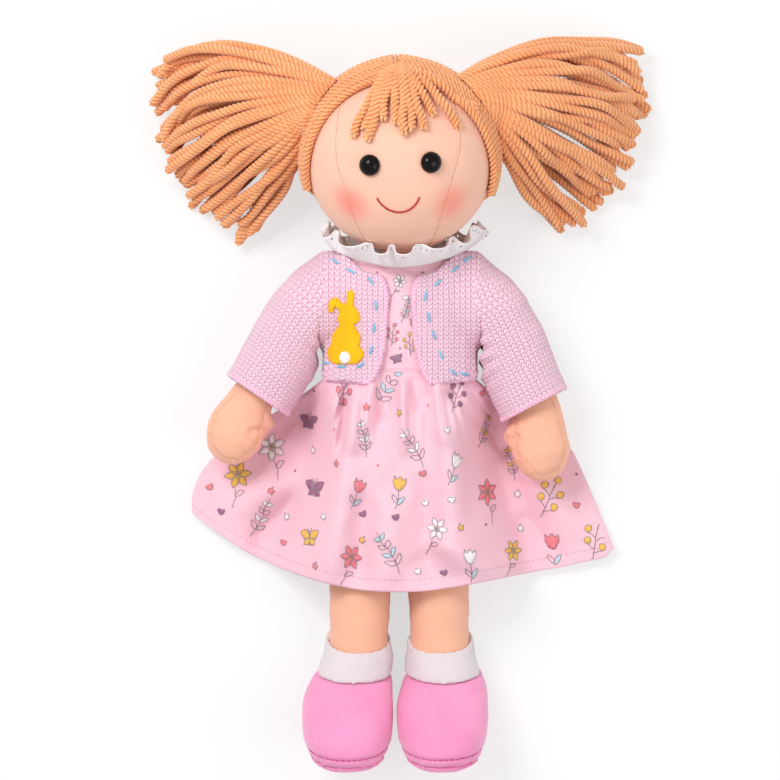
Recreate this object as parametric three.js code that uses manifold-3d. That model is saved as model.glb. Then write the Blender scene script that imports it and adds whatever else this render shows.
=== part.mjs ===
// Soft rag doll lying on its back: stuffed head, body and limbs, yarn hair in two bunches,
// a knitted cardigan, a cotton dress with a lace frill, ankle socks and sewn shoes.
// Millimetres. The origin is on the table under the waist, +Y runs to the head, +Z out of
// the chest and +X to the doll's own left hand.
import * as THREE from "three";
import { mergeVertices } from "three/addons/utils/BufferGeometryUtils.js";
import Module from "manifold-3d";

const wasm = await Module();
wasm.setup();

// Fits and cloths
const GAP = 0.3; // between pieces that touch
const OVERRUN = 5; // how far a cutter runs past what it cuts
const REST_FLAT = 0.5; // how far the padding flattens on the table
const COTTON = 1; // dress cloth
const KNIT = 2.8; // cardigan
const LACE = 1.2; // frill
const FELT = 1.2; // motif on the cardigan
const YARN = 4; // thickness of one strand of hair
const LOCK = 5.6; // a few strands that lie together

// Body
const WAIST_TO_NECK = 60;
const WAIST_TO_SEAT = 53;
const CHEST_WIDTH = 76;
const BODY_DEPTH = 50;
const NECK_RADIUS = 11;
const NECK_RISE = 1.5; // of the neck's round base above the shoulders

// Head
const HEAD_RADIUS = 49.7;
const NECK_LENGTH = 3.4; // between the shoulders and the head
const HEAD_TILT = THREE.MathUtils.degToRad(2.5);
const EYE_SPREAD = HEAD_RADIUS * 0.322; // half the distance between the eyes
const EYE_DROP = HEAD_RADIUS * 0.072; // below the head's centre
const EYE_RADIUS = 6;
const EYE_DOME = 5;
const SHANK_RADIUS = 2;
const SHANK_LENGTH = 13;
const WASHER_RADIUS = 7;
const WASHER_THICKNESS = 1.6;
const WASHER_DEPTH = 5; // from the back of the eye to the washer

// Hair
const PARTING_ANGLE = THREE.MathUtils.degToRad(64); // where the fringe starts above the face
const HAIRLINE_WIDTH = HEAD_RADIUS * 0.966; // half width of the opening round the face
const HAIRLINE_HEIGHT = HEAD_RADIUS * 0.865; // from the head's centre to the forehead's hairline
const SIDE_HAIR_DROP = HEAD_RADIUS * 0.382; // how far the hair reaches down at the cheeks
const NAPE_DROP = HEAD_RADIUS * 0.724; // and at the back
const TIE_ANGLE = THREE.MathUtils.degToRad(32.5); // of each bunch above the head's middle
const ROOT_RADIUS = 6.8;
const ROOT_SINK = 3; // how deep the root of a bunch sits in the hair
const TIE_WIDTH = 3;
const TIE_THICKNESS = 2.5;
const TIE_START = 2.5; // from the middle of the root to the band
const BUNCH_LENGTH = 82; // from the tie to the cut ends
const BUNCH_DEPTH = 15; // half its thickness
const BUNCH_SWING = THREE.MathUtils.degToRad(30); // how far it swings forward
const FAN_TOP_ANGLE = THREE.MathUtils.degToRad(78); // at which its highest strand leaves
const BUNCH_TOP_ANGLE = THREE.MathUtils.degToRad(20);
const BUNCH_LOW_ANGLE = THREE.MathUtils.degToRad(-65);
const FRINGE_LENGTH = HEAD_RADIUS * 0.885;
const LOW_BEND_SHARE = 0.46; // where the lowest and the highest strand turn downwards
const TOP_BEND_SHARE = 0.64;
const RIDGES = 13; // strands side by side in a bunch

// Neckline frill
const FRILL_WIDTH = 30; // half width where it is sewn on
const FRILL_HEIGHT = 13;
const FRILL_FLARE = 14;
const FRILL_WAVE = 3.2;
const FRILL_WAVES = 17;
const NECKLINE_DIP = 6; // how much lower the neckline is at the front than at the back

// Cardigan
const CARDIGAN_DROP = 9; // below the waist
const HEM_FLARE = 4;
const NECK_EDGE = 33; // half width of the cardigan's neckline
const FRONT_OPENING = 6; // from the middle to the edge of each front
const ARMHOLE_OUT = 43.4; // from the middle to the sleeve
const ARMHOLE_RADIUS = 22.5;
const ARMHOLE_DROP = 25.5; // from the neck to the shoulder's axis

// Motif on the cardigan's right front
const MOTIF_HEIGHT = 39;
const MOTIF_WIDTH = 19;
const MOTIF_OUT = 29; // its middle, from the middle of the doll
const MOTIF_LOW = 4; // above the waist
const TAIL_RADIUS = 3;

// Arms
const ARM_STUB_RADIUS = 13;
const ARM_RADIUS = 14;
const HAND_RADIUS = 16.5;
const THUMB_RADIUS = 6.5;
const SLEEVE_RADIUS = 19.6;

// Dress
const SKIRT_FRONT_LENGTH = 117.5;
const SKIRT_RIGHT_LENGTH = 134;
const SKIRT_LEFT_LENGTH = 146;
const SKIRT_RIGHT_ANGLE = THREE.MathUtils.degToRad(56);
const SKIRT_LEFT_ANGLE = THREE.MathUtils.degToRad(51);
const SKIRT_EDGE = 6.5; // height of the front layer at its sides
const SKIRT_FLOOR = 1; // height of the back layer
const PLEAT = 2.2;
const PLEATS = 9;

// Legs and feet
const HIP_OUT = 19;
const LEG_RADIUS = 17.2;
const ANKLE_RADIUS = 16.3;
const WAIST_TO_ANKLE = 160;
const ANKLE_LEVEL = 21;
const SOCK_HEIGHT = 17;
const SOCK_THICKNESS = 2.4;
const SHOE_LENGTH = 54; // from the leg's middle to the toe
const SHOE_HALF_WIDTH = 25;
const SHOE_HEIGHT = 37; // from the ankle to the sole's seam
const SOLE_THICKNESS = 5;
const SIT_FOLD = THREE.MathUtils.degToRad(85); // how far the legs swing up when it sits
const LEG_SPREAD = THREE.MathUtils.degToRad(12);
const FOOT_SLOPE = THREE.MathUtils.degToRad(18); // how far the toes point down

// Where the two sides differ. The doll's own right is at -X.
const RIGHT_ANKLE_OUT = 22.5;
const LEFT_ANKLE_OUT = 21.6;
const RIGHT_SHOE_OUT = 27.9;
const LEFT_SHOE_OUT = 25.6;
const RIGHT_CUFF_OUT = 76;
const RIGHT_CUFF_DROP = 13; // below the waist
const LEFT_CUFF_OUT = 71.5;
const LEFT_CUFF_DROP = 18;
const RIGHT_HAND_OUT = 15; // from the cuff to the finger tips, sideways
const LEFT_HAND_OUT = 6;
const RIGHT_HAND_DROP = 36.5; // and downwards
const LEFT_HAND_DROP = 41.5;

// Heights that follow from the layers under the back
const BACK_LAYERS = KNIT + COTTON + 2 * GAP;
const BODY_LEVEL = BACK_LAYERS + BODY_DEPTH / 2 - REST_FLAT;
const HAIR_THICKNESS = YARN - GAP;
const HAIR_RADIUS = HEAD_RADIUS + GAP + HAIR_THICKNESS;
const HEAD_LEVEL = HAIR_RADIUS - REST_FLAT;
const HEAD_Y = WAIST_TO_NECK + NECK_LENGTH + HEAD_RADIUS;
const SHOULDER_Y = WAIST_TO_NECK - ARMHOLE_DROP;
const SIDES = [
  { name: "right", sign: -1 },
  { name: "left", sign: 1 },
];

const v = (x, y, z) => new THREE.Vector3(x, y, z);
const mix = THREE.MathUtils.lerp;
const smooth = THREE.MathUtils.smoothstep;

// Solids

// A closed geometry from points and faces, turned so that its faces point outwards.
function closedGeometry(points, faces) {
  const volume = faces.reduce((sum, _, k) => {
    if (k % 3) return sum;
    const [a, b, c] = [faces[k], faces[k + 1], faces[k + 2]].map((i) => points[i]);
    return sum + a.dot(b.clone().cross(c));
  }, 0);
  const turned = volume < 0 ? [...faces].reverse() : faces;
  const geometry = new THREE.BufferGeometry().setFromPoints(points);
  geometry.setIndex(turned);
  return geometry;
}

// A closed skin through rings of equally many points, with a flat end on each side.
function loft(rings) {
  const count = rings[0].length;
  const points = rings.flat();
  const faces = [];
  for (let ring = 0; ring < rings.length - 1; ring++) {
    for (let k = 0; k < count; k++) {
      const a = ring * count + k;
      const b = ring * count + ((k + 1) % count);
      faces.push(a, b, b + count, a, b + count, a + count);
    }
  }
  const last = (rings.length - 1) * count;
  for (const [start, first] of [[0, true], [last, false]]) {
    const middle = points.length;
    const centre = v(0, 0, 0);
    for (let k = 0; k < count; k++) centre.add(points[start + k]);
    points.push(centre.divideScalar(count));
    for (let k = 0; k < count; k++) {
      const a = start + k;
      const b = start + ((k + 1) % count);
      if (first) faces.push(middle, b, a);
      else faces.push(middle, a, b);
    }
  }
  return closedGeometry(points, faces);
}

// A sheet of cloth with a thickness, closed round: rows of points from one edge to the other.
function clothTube(rows, thickness) {
  const count = rows[0].length;
  const at = (row, k) => rows[row][(k + count) % count];
  const inner = rows.map((row, r) =>
    row.map((point, k) => {
      const along = at(Math.min(r + 1, rows.length - 1), k).clone();
      along.sub(at(Math.max(r - 1, 0), k));
      const round = at(r, k + 1).clone().sub(at(r, k - 1));
      return point.clone().addScaledVector(round.cross(along).normalize(), thickness);
    }),
  );
  const loop = [...rows, ...inner.reverse()];
  const points = loop.flat();
  const faces = [];
  for (let ring = 0; ring < loop.length; ring++) {
    const next = ((ring + 1) % loop.length) * count;
    for (let k = 0; k < count; k++) {
      const other = (k + 1) % count;
      const [a, b] = [ring * count + k, ring * count + other];
      faces.push(a, b, next + other, a, next + other, next + k);
    }
  }
  return closedGeometry(points, faces);
}

// A mesh as a solid that can be cut and joined.
function solid(geometry) {
  const bare = geometry.clone();
  bare.deleteAttribute("normal");
  bare.deleteAttribute("uv");
  const merged = mergeVertices(bare);
  return new wasm.Manifold(
    new wasm.Mesh({
      numProp: 3,
      vertProperties: merged.attributes.position.array,
      triVerts: new Uint32Array(merged.index.array),
    }),
  );
}

const cut = (body, ...cutters) => cutters.reduce((left, cutter) => left.subtract(cutter), body);
const join = (...bodies) => bodies.reduce((sum, body) => sum.add(body));

function box(low, high) {
  const size = high.clone().sub(low);
  const centre = high.clone().add(low).multiplyScalar(1 / 2);
  const shape = new THREE.BoxGeometry(size.x, size.y, size.z);
  return solid(shape.translate(centre.x, centre.y, centre.z));
}

function ball(centre, radius, sides) {
  const shape = new THREE.SphereGeometry(radius, sides, sides / 2);
  return solid(shape.translate(centre.x, centre.y, centre.z));
}

// A round rod between two points.
function rod(from, to, radius, sides) {
  const along = to.clone().sub(from);
  const shape = new THREE.CylinderGeometry(radius, radius, along.length(), sides);
  shape.applyQuaternion(new THREE.Quaternion().setFromUnitVectors(v(0, 1, 0), along.clone().normalize()));
  const centre = from.clone().add(to).multiplyScalar(1 / 2);
  return solid(shape.translate(centre.x, centre.y, centre.z));
}

// A padded form: stations hold a centre, a half width and a half depth, square to the path.
// grow makes every section larger, for the cloth over it or for clearance.
function padded(stations, { grow = 0, sides = 20, steps = 2, round = 2, square = null } = {}) {
  const centres = new THREE.CatmullRomCurve3(stations.map((s) => s.at));
  const sizes = new THREE.CatmullRomCurve3(stations.map((s) => v(s.width, s.depth, 0)));
  centres.curveType = "catmullrom";
  sizes.curveType = "catmullrom";
  const count = (stations.length - 1) * steps;
  const rings = [];
  for (let i = 0; i <= count; i++) {
    const centre = centres.getPoint(i / count);
    const size = sizes.getPoint(i / count);
    const along = square ?? centres.getTangent(i / count);
    const across = along.clone().cross(v(0, 0, 1)).normalize();
    const deep = across.clone().cross(along).normalize();
    if (i === 0) centre.addScaledVector(along, -grow);
    if (i === count) centre.addScaledVector(along, grow);
    rings.push(section(centre, across, deep, size.x + grow, size.y + grow, sides, round));
  }
  return loft(rings);
}

// One closed ring of points, an ellipse whose corners fill out as round rises above 2.
function section(centre, across, deep, halfWidth, halfDepth, sides, round) {
  const ring = [];
  for (let k = 0; k < sides; k++) {
    const angle = (k / sides) * 2 * Math.PI;
    const [c, s] = [Math.cos(angle), Math.sin(angle)];
    const x = Math.sign(c) * Math.abs(c) ** (2 / round) * halfWidth;
    const z = Math.sign(s) * Math.abs(s) ** (2 / round) * halfDepth;
    ring.push(centre.clone().addScaledVector(across, x).addScaledVector(deep, z));
  }
  return ring;
}

// Everything beyond a plane through a point, as a large block.
function beyond(point, normal, reach) {
  const shape = new THREE.BoxGeometry(reach * 2, reach * 2, reach);
  shape.translate(0, 0, reach / 2);
  shape.applyQuaternion(new THREE.Quaternion().setFromUnitVectors(v(0, 0, 1), normal.clone().normalize()));
  return solid(shape.translate(point.x, point.y, point.z));
}

// An outline drawn from the front, cut right through the doll.
function stencil(outline, low, high) {
  const shape = new THREE.Shape(outline.map(([x, y]) => new THREE.Vector2(x, y)));
  const block = new THREE.ExtrudeGeometry(shape, { depth: high - low, bevelEnabled: false });
  return solid(block.translate(0, 0, low));
}

const REACH = 2 * (HEAD_Y + HEAD_RADIUS); // larger than the doll in every direction
const TABLE = beyond(v(0, 0, 0), v(0, 0, -1), REACH);

// Nodes

const doll = new THREE.Group();
const headGroup = new THREE.Group();
headGroup.position.set(0, HEAD_Y, HEAD_LEVEL);
headGroup.rotation.z = HEAD_TILT;
doll.add(headGroup);

const cloth = (color, roughness = 0.9) => new THREE.MeshStandardMaterial({ color, roughness });
const SKIN = cloth("#f5c6a6");
const KNITWEAR = cloth("#f9bedd");
const PRINT = cloth("#f6c8d8");
const WHITE = cloth("#f5f0f3");
const SHOE = cloth("#f59ccb");
const HAIR = cloth("#edae7c");
const YELLOW = cloth("#ffc800");
const BLACK = cloth("#1a1214", 0.08);
const NATURAL = cloth("#e8e4dc", 0.5);

function node(name, body, material, parent = doll) {
  let geometry = body;
  if (!body.isBufferGeometry) {
    const mesh = body.getMesh();
    geometry = new THREE.BufferGeometry();
    geometry.setAttribute("position", new THREE.BufferAttribute(new Float32Array(mesh.vertProperties), 3));
    geometry.setIndex(new THREE.BufferAttribute(new Uint32Array(mesh.triVerts), 1));
  }
  const mesh = new THREE.Mesh(geometry, material);
  mesh.name = name;
  parent.add(mesh);
}

// Body

const WAIST_SHARE = 0.92;
const BODY_ROUND = 2.3; // how full the corners of a section are

// From the seat seam to the neck: place along the body, width and depth.
const bodyShares = [
  [0, 0.9, 0.12],
  [0.05, 0.94, 0.2],
  [0.11, 0.98, 0.44],
  [0.2, 1, 0.74],
  [0.32, 0.98, 0.95],
  [0.47, WAIST_SHARE, 1],
  [0.66, 0.97, 1],
  [0.82, 1, 0.96],
  [0.92, 0.95, 0.85],
  [0.97, 0.8, 0.72],
  [1, 0.53, 0.55],
];

function bodyForm(grow, hemFlare = 0) {
  const stations = bodyShares.map(([along, width, depth]) => {
    const y = mix(-WAIST_TO_SEAT, WAIST_TO_NECK, along);
    const flare = hemFlare * (1 - smooth(y, -CARDIGAN_DROP, CARDIGAN_DROP));
    return {
      at: v(0, y, BODY_LEVEL),
      width: (CHEST_WIDTH / 2) * width + flare,
      depth: (BODY_DEPTH / 2) * depth + flare,
    };
  });
  return solid(padded(stations, { grow, sides: 20, steps: 1, round: BODY_ROUND, square: v(0, 1, 0) }));
}

const NECK_CENTRE = v(0, WAIST_TO_NECK + NECK_RISE, BODY_LEVEL);
const HEAD_CENTRE = v(0, HEAD_Y, HEAD_LEVEL);
const headSpace = (grow) => ball(HEAD_CENTRE, HEAD_RADIUS + grow, 28);

function torso() {
  node("torso", cut(bodyForm(0), ball(NECK_CENTRE, NECK_RADIUS + GAP, 16)), SKIN);
}

function neck() {
  const stub = join(
    ball(NECK_CENTRE, NECK_RADIUS, 16),
    rod(NECK_CENTRE, HEAD_CENTRE, NECK_RADIUS * 0.86, 16),
  );
  node("neck", cut(stub, headSpace(GAP)), SKIN);
}

const bodiceSpace = (grow) => bodyForm(GAP + COTTON + grow);
const armholes = (radius) =>
  rod(v(-REACH, SHOULDER_Y, BODY_LEVEL), v(REACH, SHOULDER_Y, BODY_LEVEL), radius, 20);

// The front edge of the neckline dips below the shoulders.
function necklineHole(width, dip) {
  const outline = [];
  const points = 16;
  for (let k = 0; k <= points; k++) {
    const angle = Math.PI * (1 + k / points);
    outline.push([width * Math.cos(angle), WAIST_TO_NECK + dip * Math.sin(angle)]);
  }
  outline.push([width, WAIST_TO_NECK + REACH / 2], [-width, WAIST_TO_NECK + REACH / 2]);
  return outline;
}

function dressBodice() {
  const low = beyond(v(0, GAP, 0), v(0, -1, 0), REACH);
  const front = stencil(necklineHole(FRILL_WIDTH, NECKLINE_DIP / 2), BODY_LEVEL, REACH);
  const back = stencil(necklineHole(FRILL_WIDTH, GAP), -OVERRUN, BODY_LEVEL + GAP);
  const shell = cut(bodiceSpace(0), bodyForm(GAP), low, front, back);
  node("dress_bodice", cut(shell, armholes(ARM_STUB_RADIUS + GAP)), PRINT);
}

// Skirt

// The front layer lies over the body and thighs and drops to the table on both sides.
function frontHeight(x, y) {
  const down = smooth(-y / SKIRT_FRONT_LENGTH, 0.3, 1);
  const overBody = BODY_LEVEL + BODY_DEPTH / 2 + GAP + COTTON;
  const crest = mix(overBody, BODY_LEVEL + LEG_RADIUS, down);
  const flat = mix(CHEST_WIDTH * 0.36, HIP_OUT + LEG_RADIUS, down);
  const fall = mix(CHEST_WIDTH * 0.32, LEG_RADIUS * 2.2, down);
  return mix(crest, SKIRT_EDGE, smooth(Math.abs(x), flat, flat + fall));
}

function skirtRow(down, grow, count) {
  const row = [];
  const waist = section(
    v(0, 0, BODY_LEVEL),
    v(0, 0, -1),
    v(-1, 0, 0),
    BODY_DEPTH / 2 + GAP + COTTON + grow,
    (CHEST_WIDTH / 2) * WAIST_SHARE + GAP + COTTON + grow,
    count,
    BODY_ROUND,
  );
  for (let k = 0; k < count; k++) {
    const turn = (k / count) * 2 * Math.PI - Math.PI;
    const share = 1 - Math.abs(1 - Math.abs(turn) / (Math.PI / 2));
    const left = turn > 0;
    const side = share * (left ? SKIRT_LEFT_ANGLE : SKIRT_RIGHT_ANGLE) * Math.sign(turn);
    const reach = mix(SKIRT_FRONT_LENGTH, left ? SKIRT_LEFT_LENGTH : SKIRT_RIGHT_LENGTH, share ** 2);
    const hem = v(reach * Math.sin(side), -reach * Math.cos(side), 0);
    const point = waist[k].clone().lerp(hem, down);
    const front = Math.abs(turn) <= Math.PI / 2;
    const fade = smooth(down, 0, 0.12) * (1 - smooth(share, 0.7, 0.95));
    const fold = (PLEAT * fade * (1 - Math.cos(turn * PLEATS * 2))) / 2;
    const lie = front ? frontHeight(point.x, point.y) + fold + grow : SKIRT_FLOOR - grow;
    point.z = mix(waist[k].z, lie, front ? smooth(down, 0, 0.3) : smooth(down, 0.08, 0.2));
    row.push(point);
  }
  return row;
}

const skirtStepShares = [0, 0.05, 0.11, 0.2, 0.4, 0.68, 1];
const skirtRows = (grow) => skirtStepShares.map((down) => skirtRow(down, grow, 48));

function dressSkirt() {
  node("dress_skirt", clothTube(skirtRows(0), COTTON), PRINT);
}

// Frill

// A row of the ruffle, from its sewn edge, share 0, to its free edge, share 1.
function frillRow(share, count, grow) {
  const row = [];
  for (let k = 0; k < count; k++) {
    const turn = (k / count) * 2 * Math.PI;
    const [sine, cosine] = [Math.sin(turn), Math.cos(turn)];
    const ripple = grow ? 1 : (1 - Math.cos(turn * FRILL_WAVES)) / 2;
    const wave = FRILL_WAVE * share * ripple;
    const dip = (NECKLINE_DIP * (1 + cosine) ** 2) / 4;
    const sewn = BODY_DEPTH / 2 + COTTON;
    const flare = FRILL_FLARE * share + wave + grow;
    const deep = cosine > 0 ? sewn + flare * mix(1, 1.35, cosine) : sewn - flare * 0.25;
    const lift = FRILL_HEIGHT * share * 0.45 * (1 - cosine ** 2);
    row.push(
      v(
        (FRILL_WIDTH + flare) * sine,
        WAIST_TO_NECK + 2 * GAP - dip + (FRILL_HEIGHT + wave) * share + lift,
        BODY_LEVEL + deep * cosine,
      ),
    );
  }
  return row;
}

// The room the ruffle takes, with the neck inside it.
function frillSpace() {
  const rows = [0, 0, 0.5, 1].map((share) => frillRow(share, FRILL_WAVES * 2, LACE + 3 * GAP));
  rows[0].forEach((point) => point.add(v(0, -OVERRUN, 0)));
  return solid(loft(rows));
}

function neckFrill() {
  const rows = [0, 0.5, 1].map((share) => frillRow(share, FRILL_WAVES * 4, 0));
  const ruffle = solid(clothTube(rows, LACE));
  node("neck_frill", cut(ruffle, headSpace(GAP), bodiceSpace(GAP)), WHITE);
}

// Cardigan

const CARDIGAN_GROW = GAP + COTTON + GAP + KNIT;
const cardiganSpace = (grow) =>
  join(bodyForm(CARDIGAN_GROW + grow, HEM_FLARE), armholes(ARMHOLE_RADIUS + grow));

// The free edge of one front: down from the neckline, round the lower corner and out along
// the hem.
const frontShares = [
  [1.1, 1.3],
  [0.72, 1.06],
  [0.16, 0.86],
  [0, 0.72],
  [0.02, 0.4],
  [0.1, 0.12],
  [0.3, -0.09],
  [0.62, -0.15],
  [1, -0.13],
  [1.38, -0.02],
  [1.6, 0.14],
];

// Below the hem, which rises from the middle of the back to the side seams.
function belowHem() {
  const outline = [];
  const points = 12;
  for (let k = 0; k <= points; k++) {
    const across = (k / points) * 2 - 1;
    outline.push([ARMHOLE_OUT * across, -CARDIGAN_DROP * Math.cos((across * Math.PI) / 2)]);
  }
  return [...outline, [REACH, 0], [REACH, -REACH], [-REACH, -REACH], [-REACH, 0]];
}

function frontOutline(sign) {
  const edge = new THREE.SplineCurve(frontShares.map(([across, up]) => new THREE.Vector2(across, up)));
  const points = 22;
  const outline = edge.getSpacedPoints(points).map(({ x, y }) => [
    sign * mix(FRONT_OPENING, NECK_EDGE, x),
    WAIST_TO_NECK * y,
  ]);
  return [...outline, [sign * REACH, REACH]];
}

function cardigan() {
  const hollow = loft(skirtRows(GAP).slice(0, 5));
  const shell = cut(
    cardiganSpace(0),
    bodiceSpace(GAP),
    solid(hollow),
    frillSpace(),
    stencil(belowHem(), -OVERRUN, REACH),
    TABLE,
    armholes(ARMHOLE_RADIUS - KNIT),
    ...SIDES.map(({ sign }) => beyond(v(sign * (ARMHOLE_OUT - GAP), 0, 0), v(sign, 0, 0), REACH)),
    stencil(necklineHole(NECK_EDGE, GAP), -OVERRUN, REACH),
  );
  const front = box(v(-REACH, -REACH, BODY_LEVEL), v(REACH, REACH, REACH));
  const back = box(v(-REACH, -REACH, -REACH), v(REACH, REACH, BODY_LEVEL - GAP));
  node("cardigan_back", shell.intersect(back), KNITWEAR);
  for (const { name, sign } of SIDES) {
    const half = stencil(frontOutline(sign), BODY_LEVEL - OVERRUN, REACH);
    node(`cardigan_front_${name}`, shell.intersect(front).intersect(half), KNITWEAR);
  }
}

// Motif on the right front

// A sitting rabbit from behind with one ear up and one ear folded.
const rabbitShares = [
  [-0.3, 0], [0.3, 0], [0.48, 0.08], [0.5, 0.16], [0.36, 0.24], [0.42, 0.36], [0.3, 0.46],
  [0.22, 0.52], [0.4, 0.6], [0.36, 0.7], [0.2, 0.79], [0.24, 0.95], [0.16, 1], [0.06, 0.96],
  [0.05, 0.82], [-0.08, 0.8], [-0.26, 0.9], [-0.44, 0.84], [-0.46, 0.7], [-0.36, 0.7],
  [-0.3, 0.79], [-0.14, 0.72], [-0.2, 0.6], [-0.14, 0.52], [-0.34, 0.4], [-0.38, 0.26],
  [-0.5, 0.18], [-0.46, 0.06],
];

function motif() {
  const outline = rabbitShares.map(([across, up]) => [
    across * MOTIF_WIDTH - MOTIF_OUT,
    MOTIF_LOW + up * MOTIF_HEIGHT,
  ]);
  const felt = cut(cardiganSpace(GAP + FELT), cardiganSpace(GAP));
  node("bunny_applique", felt.intersect(stencil(outline, BODY_LEVEL, REACH)), YELLOW);
  const tailY = MOTIF_LOW + MOTIF_HEIGHT * 0.08;
  const across = v(-MOTIF_OUT, tailY, 0);
  const pole = rod(across, across.clone().setZ(REACH), GAP, 8);
  const foot = pole.intersect(cardiganSpace(2 * GAP + FELT)).boundingBox();
  const puff = ball(v(-MOTIF_OUT, tailY, foot.max[2]), TAIL_RADIUS, 16);
  node("bunny_tail", cut(puff, cardiganSpace(2 * GAP + FELT)), WHITE);
}

// Arms

function armPlaces(side) {
  const right = side.sign < 0;
  const cuff = v(
    side.sign * (right ? RIGHT_CUFF_OUT : LEFT_CUFF_OUT),
    right ? -RIGHT_CUFF_DROP : -LEFT_CUFF_DROP,
    BODY_LEVEL,
  );
  const tip = cuff.clone().add(
    v(
      side.sign * (right ? RIGHT_HAND_OUT : LEFT_HAND_OUT),
      right ? -RIGHT_HAND_DROP : -LEFT_HAND_DROP,
      0,
    ),
  );
  const shoulder = v(side.sign * ARMHOLE_OUT, SHOULDER_Y, BODY_LEVEL);
  const elbow = shoulder.clone().lerp(cuff, 0.55);
  elbow.x += side.sign * (right ? 2 : 4) * GAP;
  return { shoulder, elbow, cuff, tip };
}

function armForm(side, grow) {
  const { shoulder, elbow, cuff, tip } = armPlaces(side);
  const top = shoulder.clone().lerp(elbow, 0.22);
  const hand = (share, radius) => {
    const depth = radius * 0.85;
    return { at: cuff.clone().lerp(tip, share), width: radius, depth };
  };
  const stations = [
    { at: top, width: ARM_RADIUS, depth: ARM_RADIUS },
    { at: elbow, width: ARM_RADIUS, depth: ARM_RADIUS },
    hand(0, ARM_RADIUS),
    hand(0.35, HAND_RADIUS * 0.98),
    hand(0.62, HAND_RADIUS),
    hand(0.85, HAND_RADIUS * 0.76),
    hand(0.96, HAND_RADIUS * 0.42),
    hand(1, HAND_RADIUS * 0.12),
  ];
  const stub = rod(
    v(side.sign * (CHEST_WIDTH / 2 + GAP - grow), SHOULDER_Y, BODY_LEVEL),
    v(side.sign * (ARMHOLE_OUT + ARM_RADIUS / 2), SHOULDER_Y, BODY_LEVEL),
    ARM_STUB_RADIUS + grow,
    20,
  );
  const thumb = cuff.clone().lerp(tip, 0.4);
  thumb.x -= side.sign * (HAND_RADIUS - THUMB_RADIUS * 0.45);
  const limb = join(
    solid(padded(stations, { grow, sides: 14, steps: 1 })),
    ball(top, ARM_RADIUS + grow, 16),
    ball(thumb, THUMB_RADIUS + grow, 10),
  );
  return join(cut(limb, inboard(side, ARMHOLE_OUT - grow)), stub);
}

// The doll's side of an upright plane at a distance from its middle.
const inboard = (side, out) => beyond(v(side.sign * out, 0, 0), v(-side.sign, 0, 0), REACH);

// The sleeve leaves the armhole square to the body and turns down to the cuff.
function sleeveForm(side, grow) {
  const { shoulder, elbow, cuff } = armPlaces(side);
  const root = shoulder.clone();
  root.x -= side.sign * GAP;
  const station = (at, radius) => ({ at, width: radius, depth: radius });
  const rings = [
    station(root, ARMHOLE_RADIUS),
    station(root.clone().lerp(elbow, 0.5).add(v(side.sign * GAP * 4, GAP * 4, 0)), SLEEVE_RADIUS + GAP * 4),
    station(elbow, SLEEVE_RADIUS),
    station(cuff, SLEEVE_RADIUS),
  ];
  const directions = [
    v(side.sign, 0, 0),
    cuff.clone().sub(root).normalize().add(v(side.sign, 0, 0)).normalize(),
    cuff.clone().sub(root).normalize(),
    cuff.clone().sub(elbow).normalize(),
  ];
  const centres = new THREE.CatmullRomCurve3(rings.map((ring) => ring.at), false, "catmullrom");
  const turns = new THREE.CatmullRomCurve3(directions, false, "catmullrom");
  const sizes = new THREE.CatmullRomCurve3(rings.map((ring) => v(ring.width, ring.depth, 0)));
  const loops = [];
  const count = 7;
  for (let i = 0; i <= count; i++) {
    const along = turns.getPoint(i / count).normalize();
    const across = along.clone().cross(v(0, 0, 1)).normalize();
    const deep = across.clone().cross(along);
    const size = sizes.getPoint(i / count);
    const centre = centres.getPoint(i / count);
    if (i === count) centre.addScaledVector(along, grow < 0 ? OVERRUN : 0);
    loops.push(section(centre, across, deep, size.x + grow, size.y + grow, 20, 2));
  }
  return solid(loft(loops));
}

function arm(side) {
  const shape = armForm(side, 0);
  node(`arm_${side.name}`, shape, SKIN);
  const hollow = join(sleeveForm(side, -KNIT), armForm(side, GAP));
  const sleeve = cut(sleeveForm(side, 0), hollow, inboard(side, ARMHOLE_OUT));
  node(`sleeve_${side.name}`, sleeve, KNITWEAR);
}

// Legs and feet

function footPlaces(side) {
  const right = side.sign < 0;
  const ankleOut = side.sign * (right ? RIGHT_ANKLE_OUT : LEFT_ANKLE_OUT);
  const shoeOut = side.sign * (right ? RIGHT_SHOE_OUT : LEFT_SHOE_OUT);
  return {
    hip: v(side.sign * HIP_OUT, -WAIST_TO_SEAT, BODY_LEVEL),
    ankle: v(ankleOut, -WAIST_TO_ANKLE, ANKLE_LEVEL),
    shoe: v(shoeOut, -WAIST_TO_ANKLE, 0),
  };
}

// From the seat seam to the ankle: place along the leg, width and depth.
const legShares = [
  [0, 0.1, 0.05],
  [0.03, 0.5, 0.1],
  [0.08, 0.82, 0.29],
  [0.16, 1, 0.56],
  [0.27, 1.04, 0.82],
  [0.4, 1.04, 0.99],
  [0.6, 1, 1],
  [0.8, 0.96, 0.97],
  [1, 0.95, 0.95],
];

function legForm(side, grow) {
  const { hip, ankle } = footPlaces(side);
  const stations = legShares.map(([along, width, depth]) => ({
    at: hip.clone().lerp(ankle, along).add(v(0, -2 * GAP * (1 - along), 0)),
    width: LEG_RADIUS * width,
    depth: LEG_RADIUS * depth,
  }));
  return solid(padded(stations, { grow, sides: 18, steps: 1, round: 2 }));
}

// The cuff and the shoe's opening lie in planes that slope down to the instep.
function cuffPlane(side, along, normal) {
  const point = footPlaces(side).ankle.clone().addScaledVector(FOOT_DOWN, along);
  return beyond(point, FOOT_DOWN.clone().multiplyScalar(normal), REACH);
}

// The foot points a little downwards: sections lie square to its own upright line.
const FOOT_DOWN = v(0, -Math.cos(FOOT_SLOPE), -Math.sin(FOOT_SLOPE));
const FOOT_TOE = v(0, -Math.sin(FOOT_SLOPE), Math.cos(FOOT_SLOPE));

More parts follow.
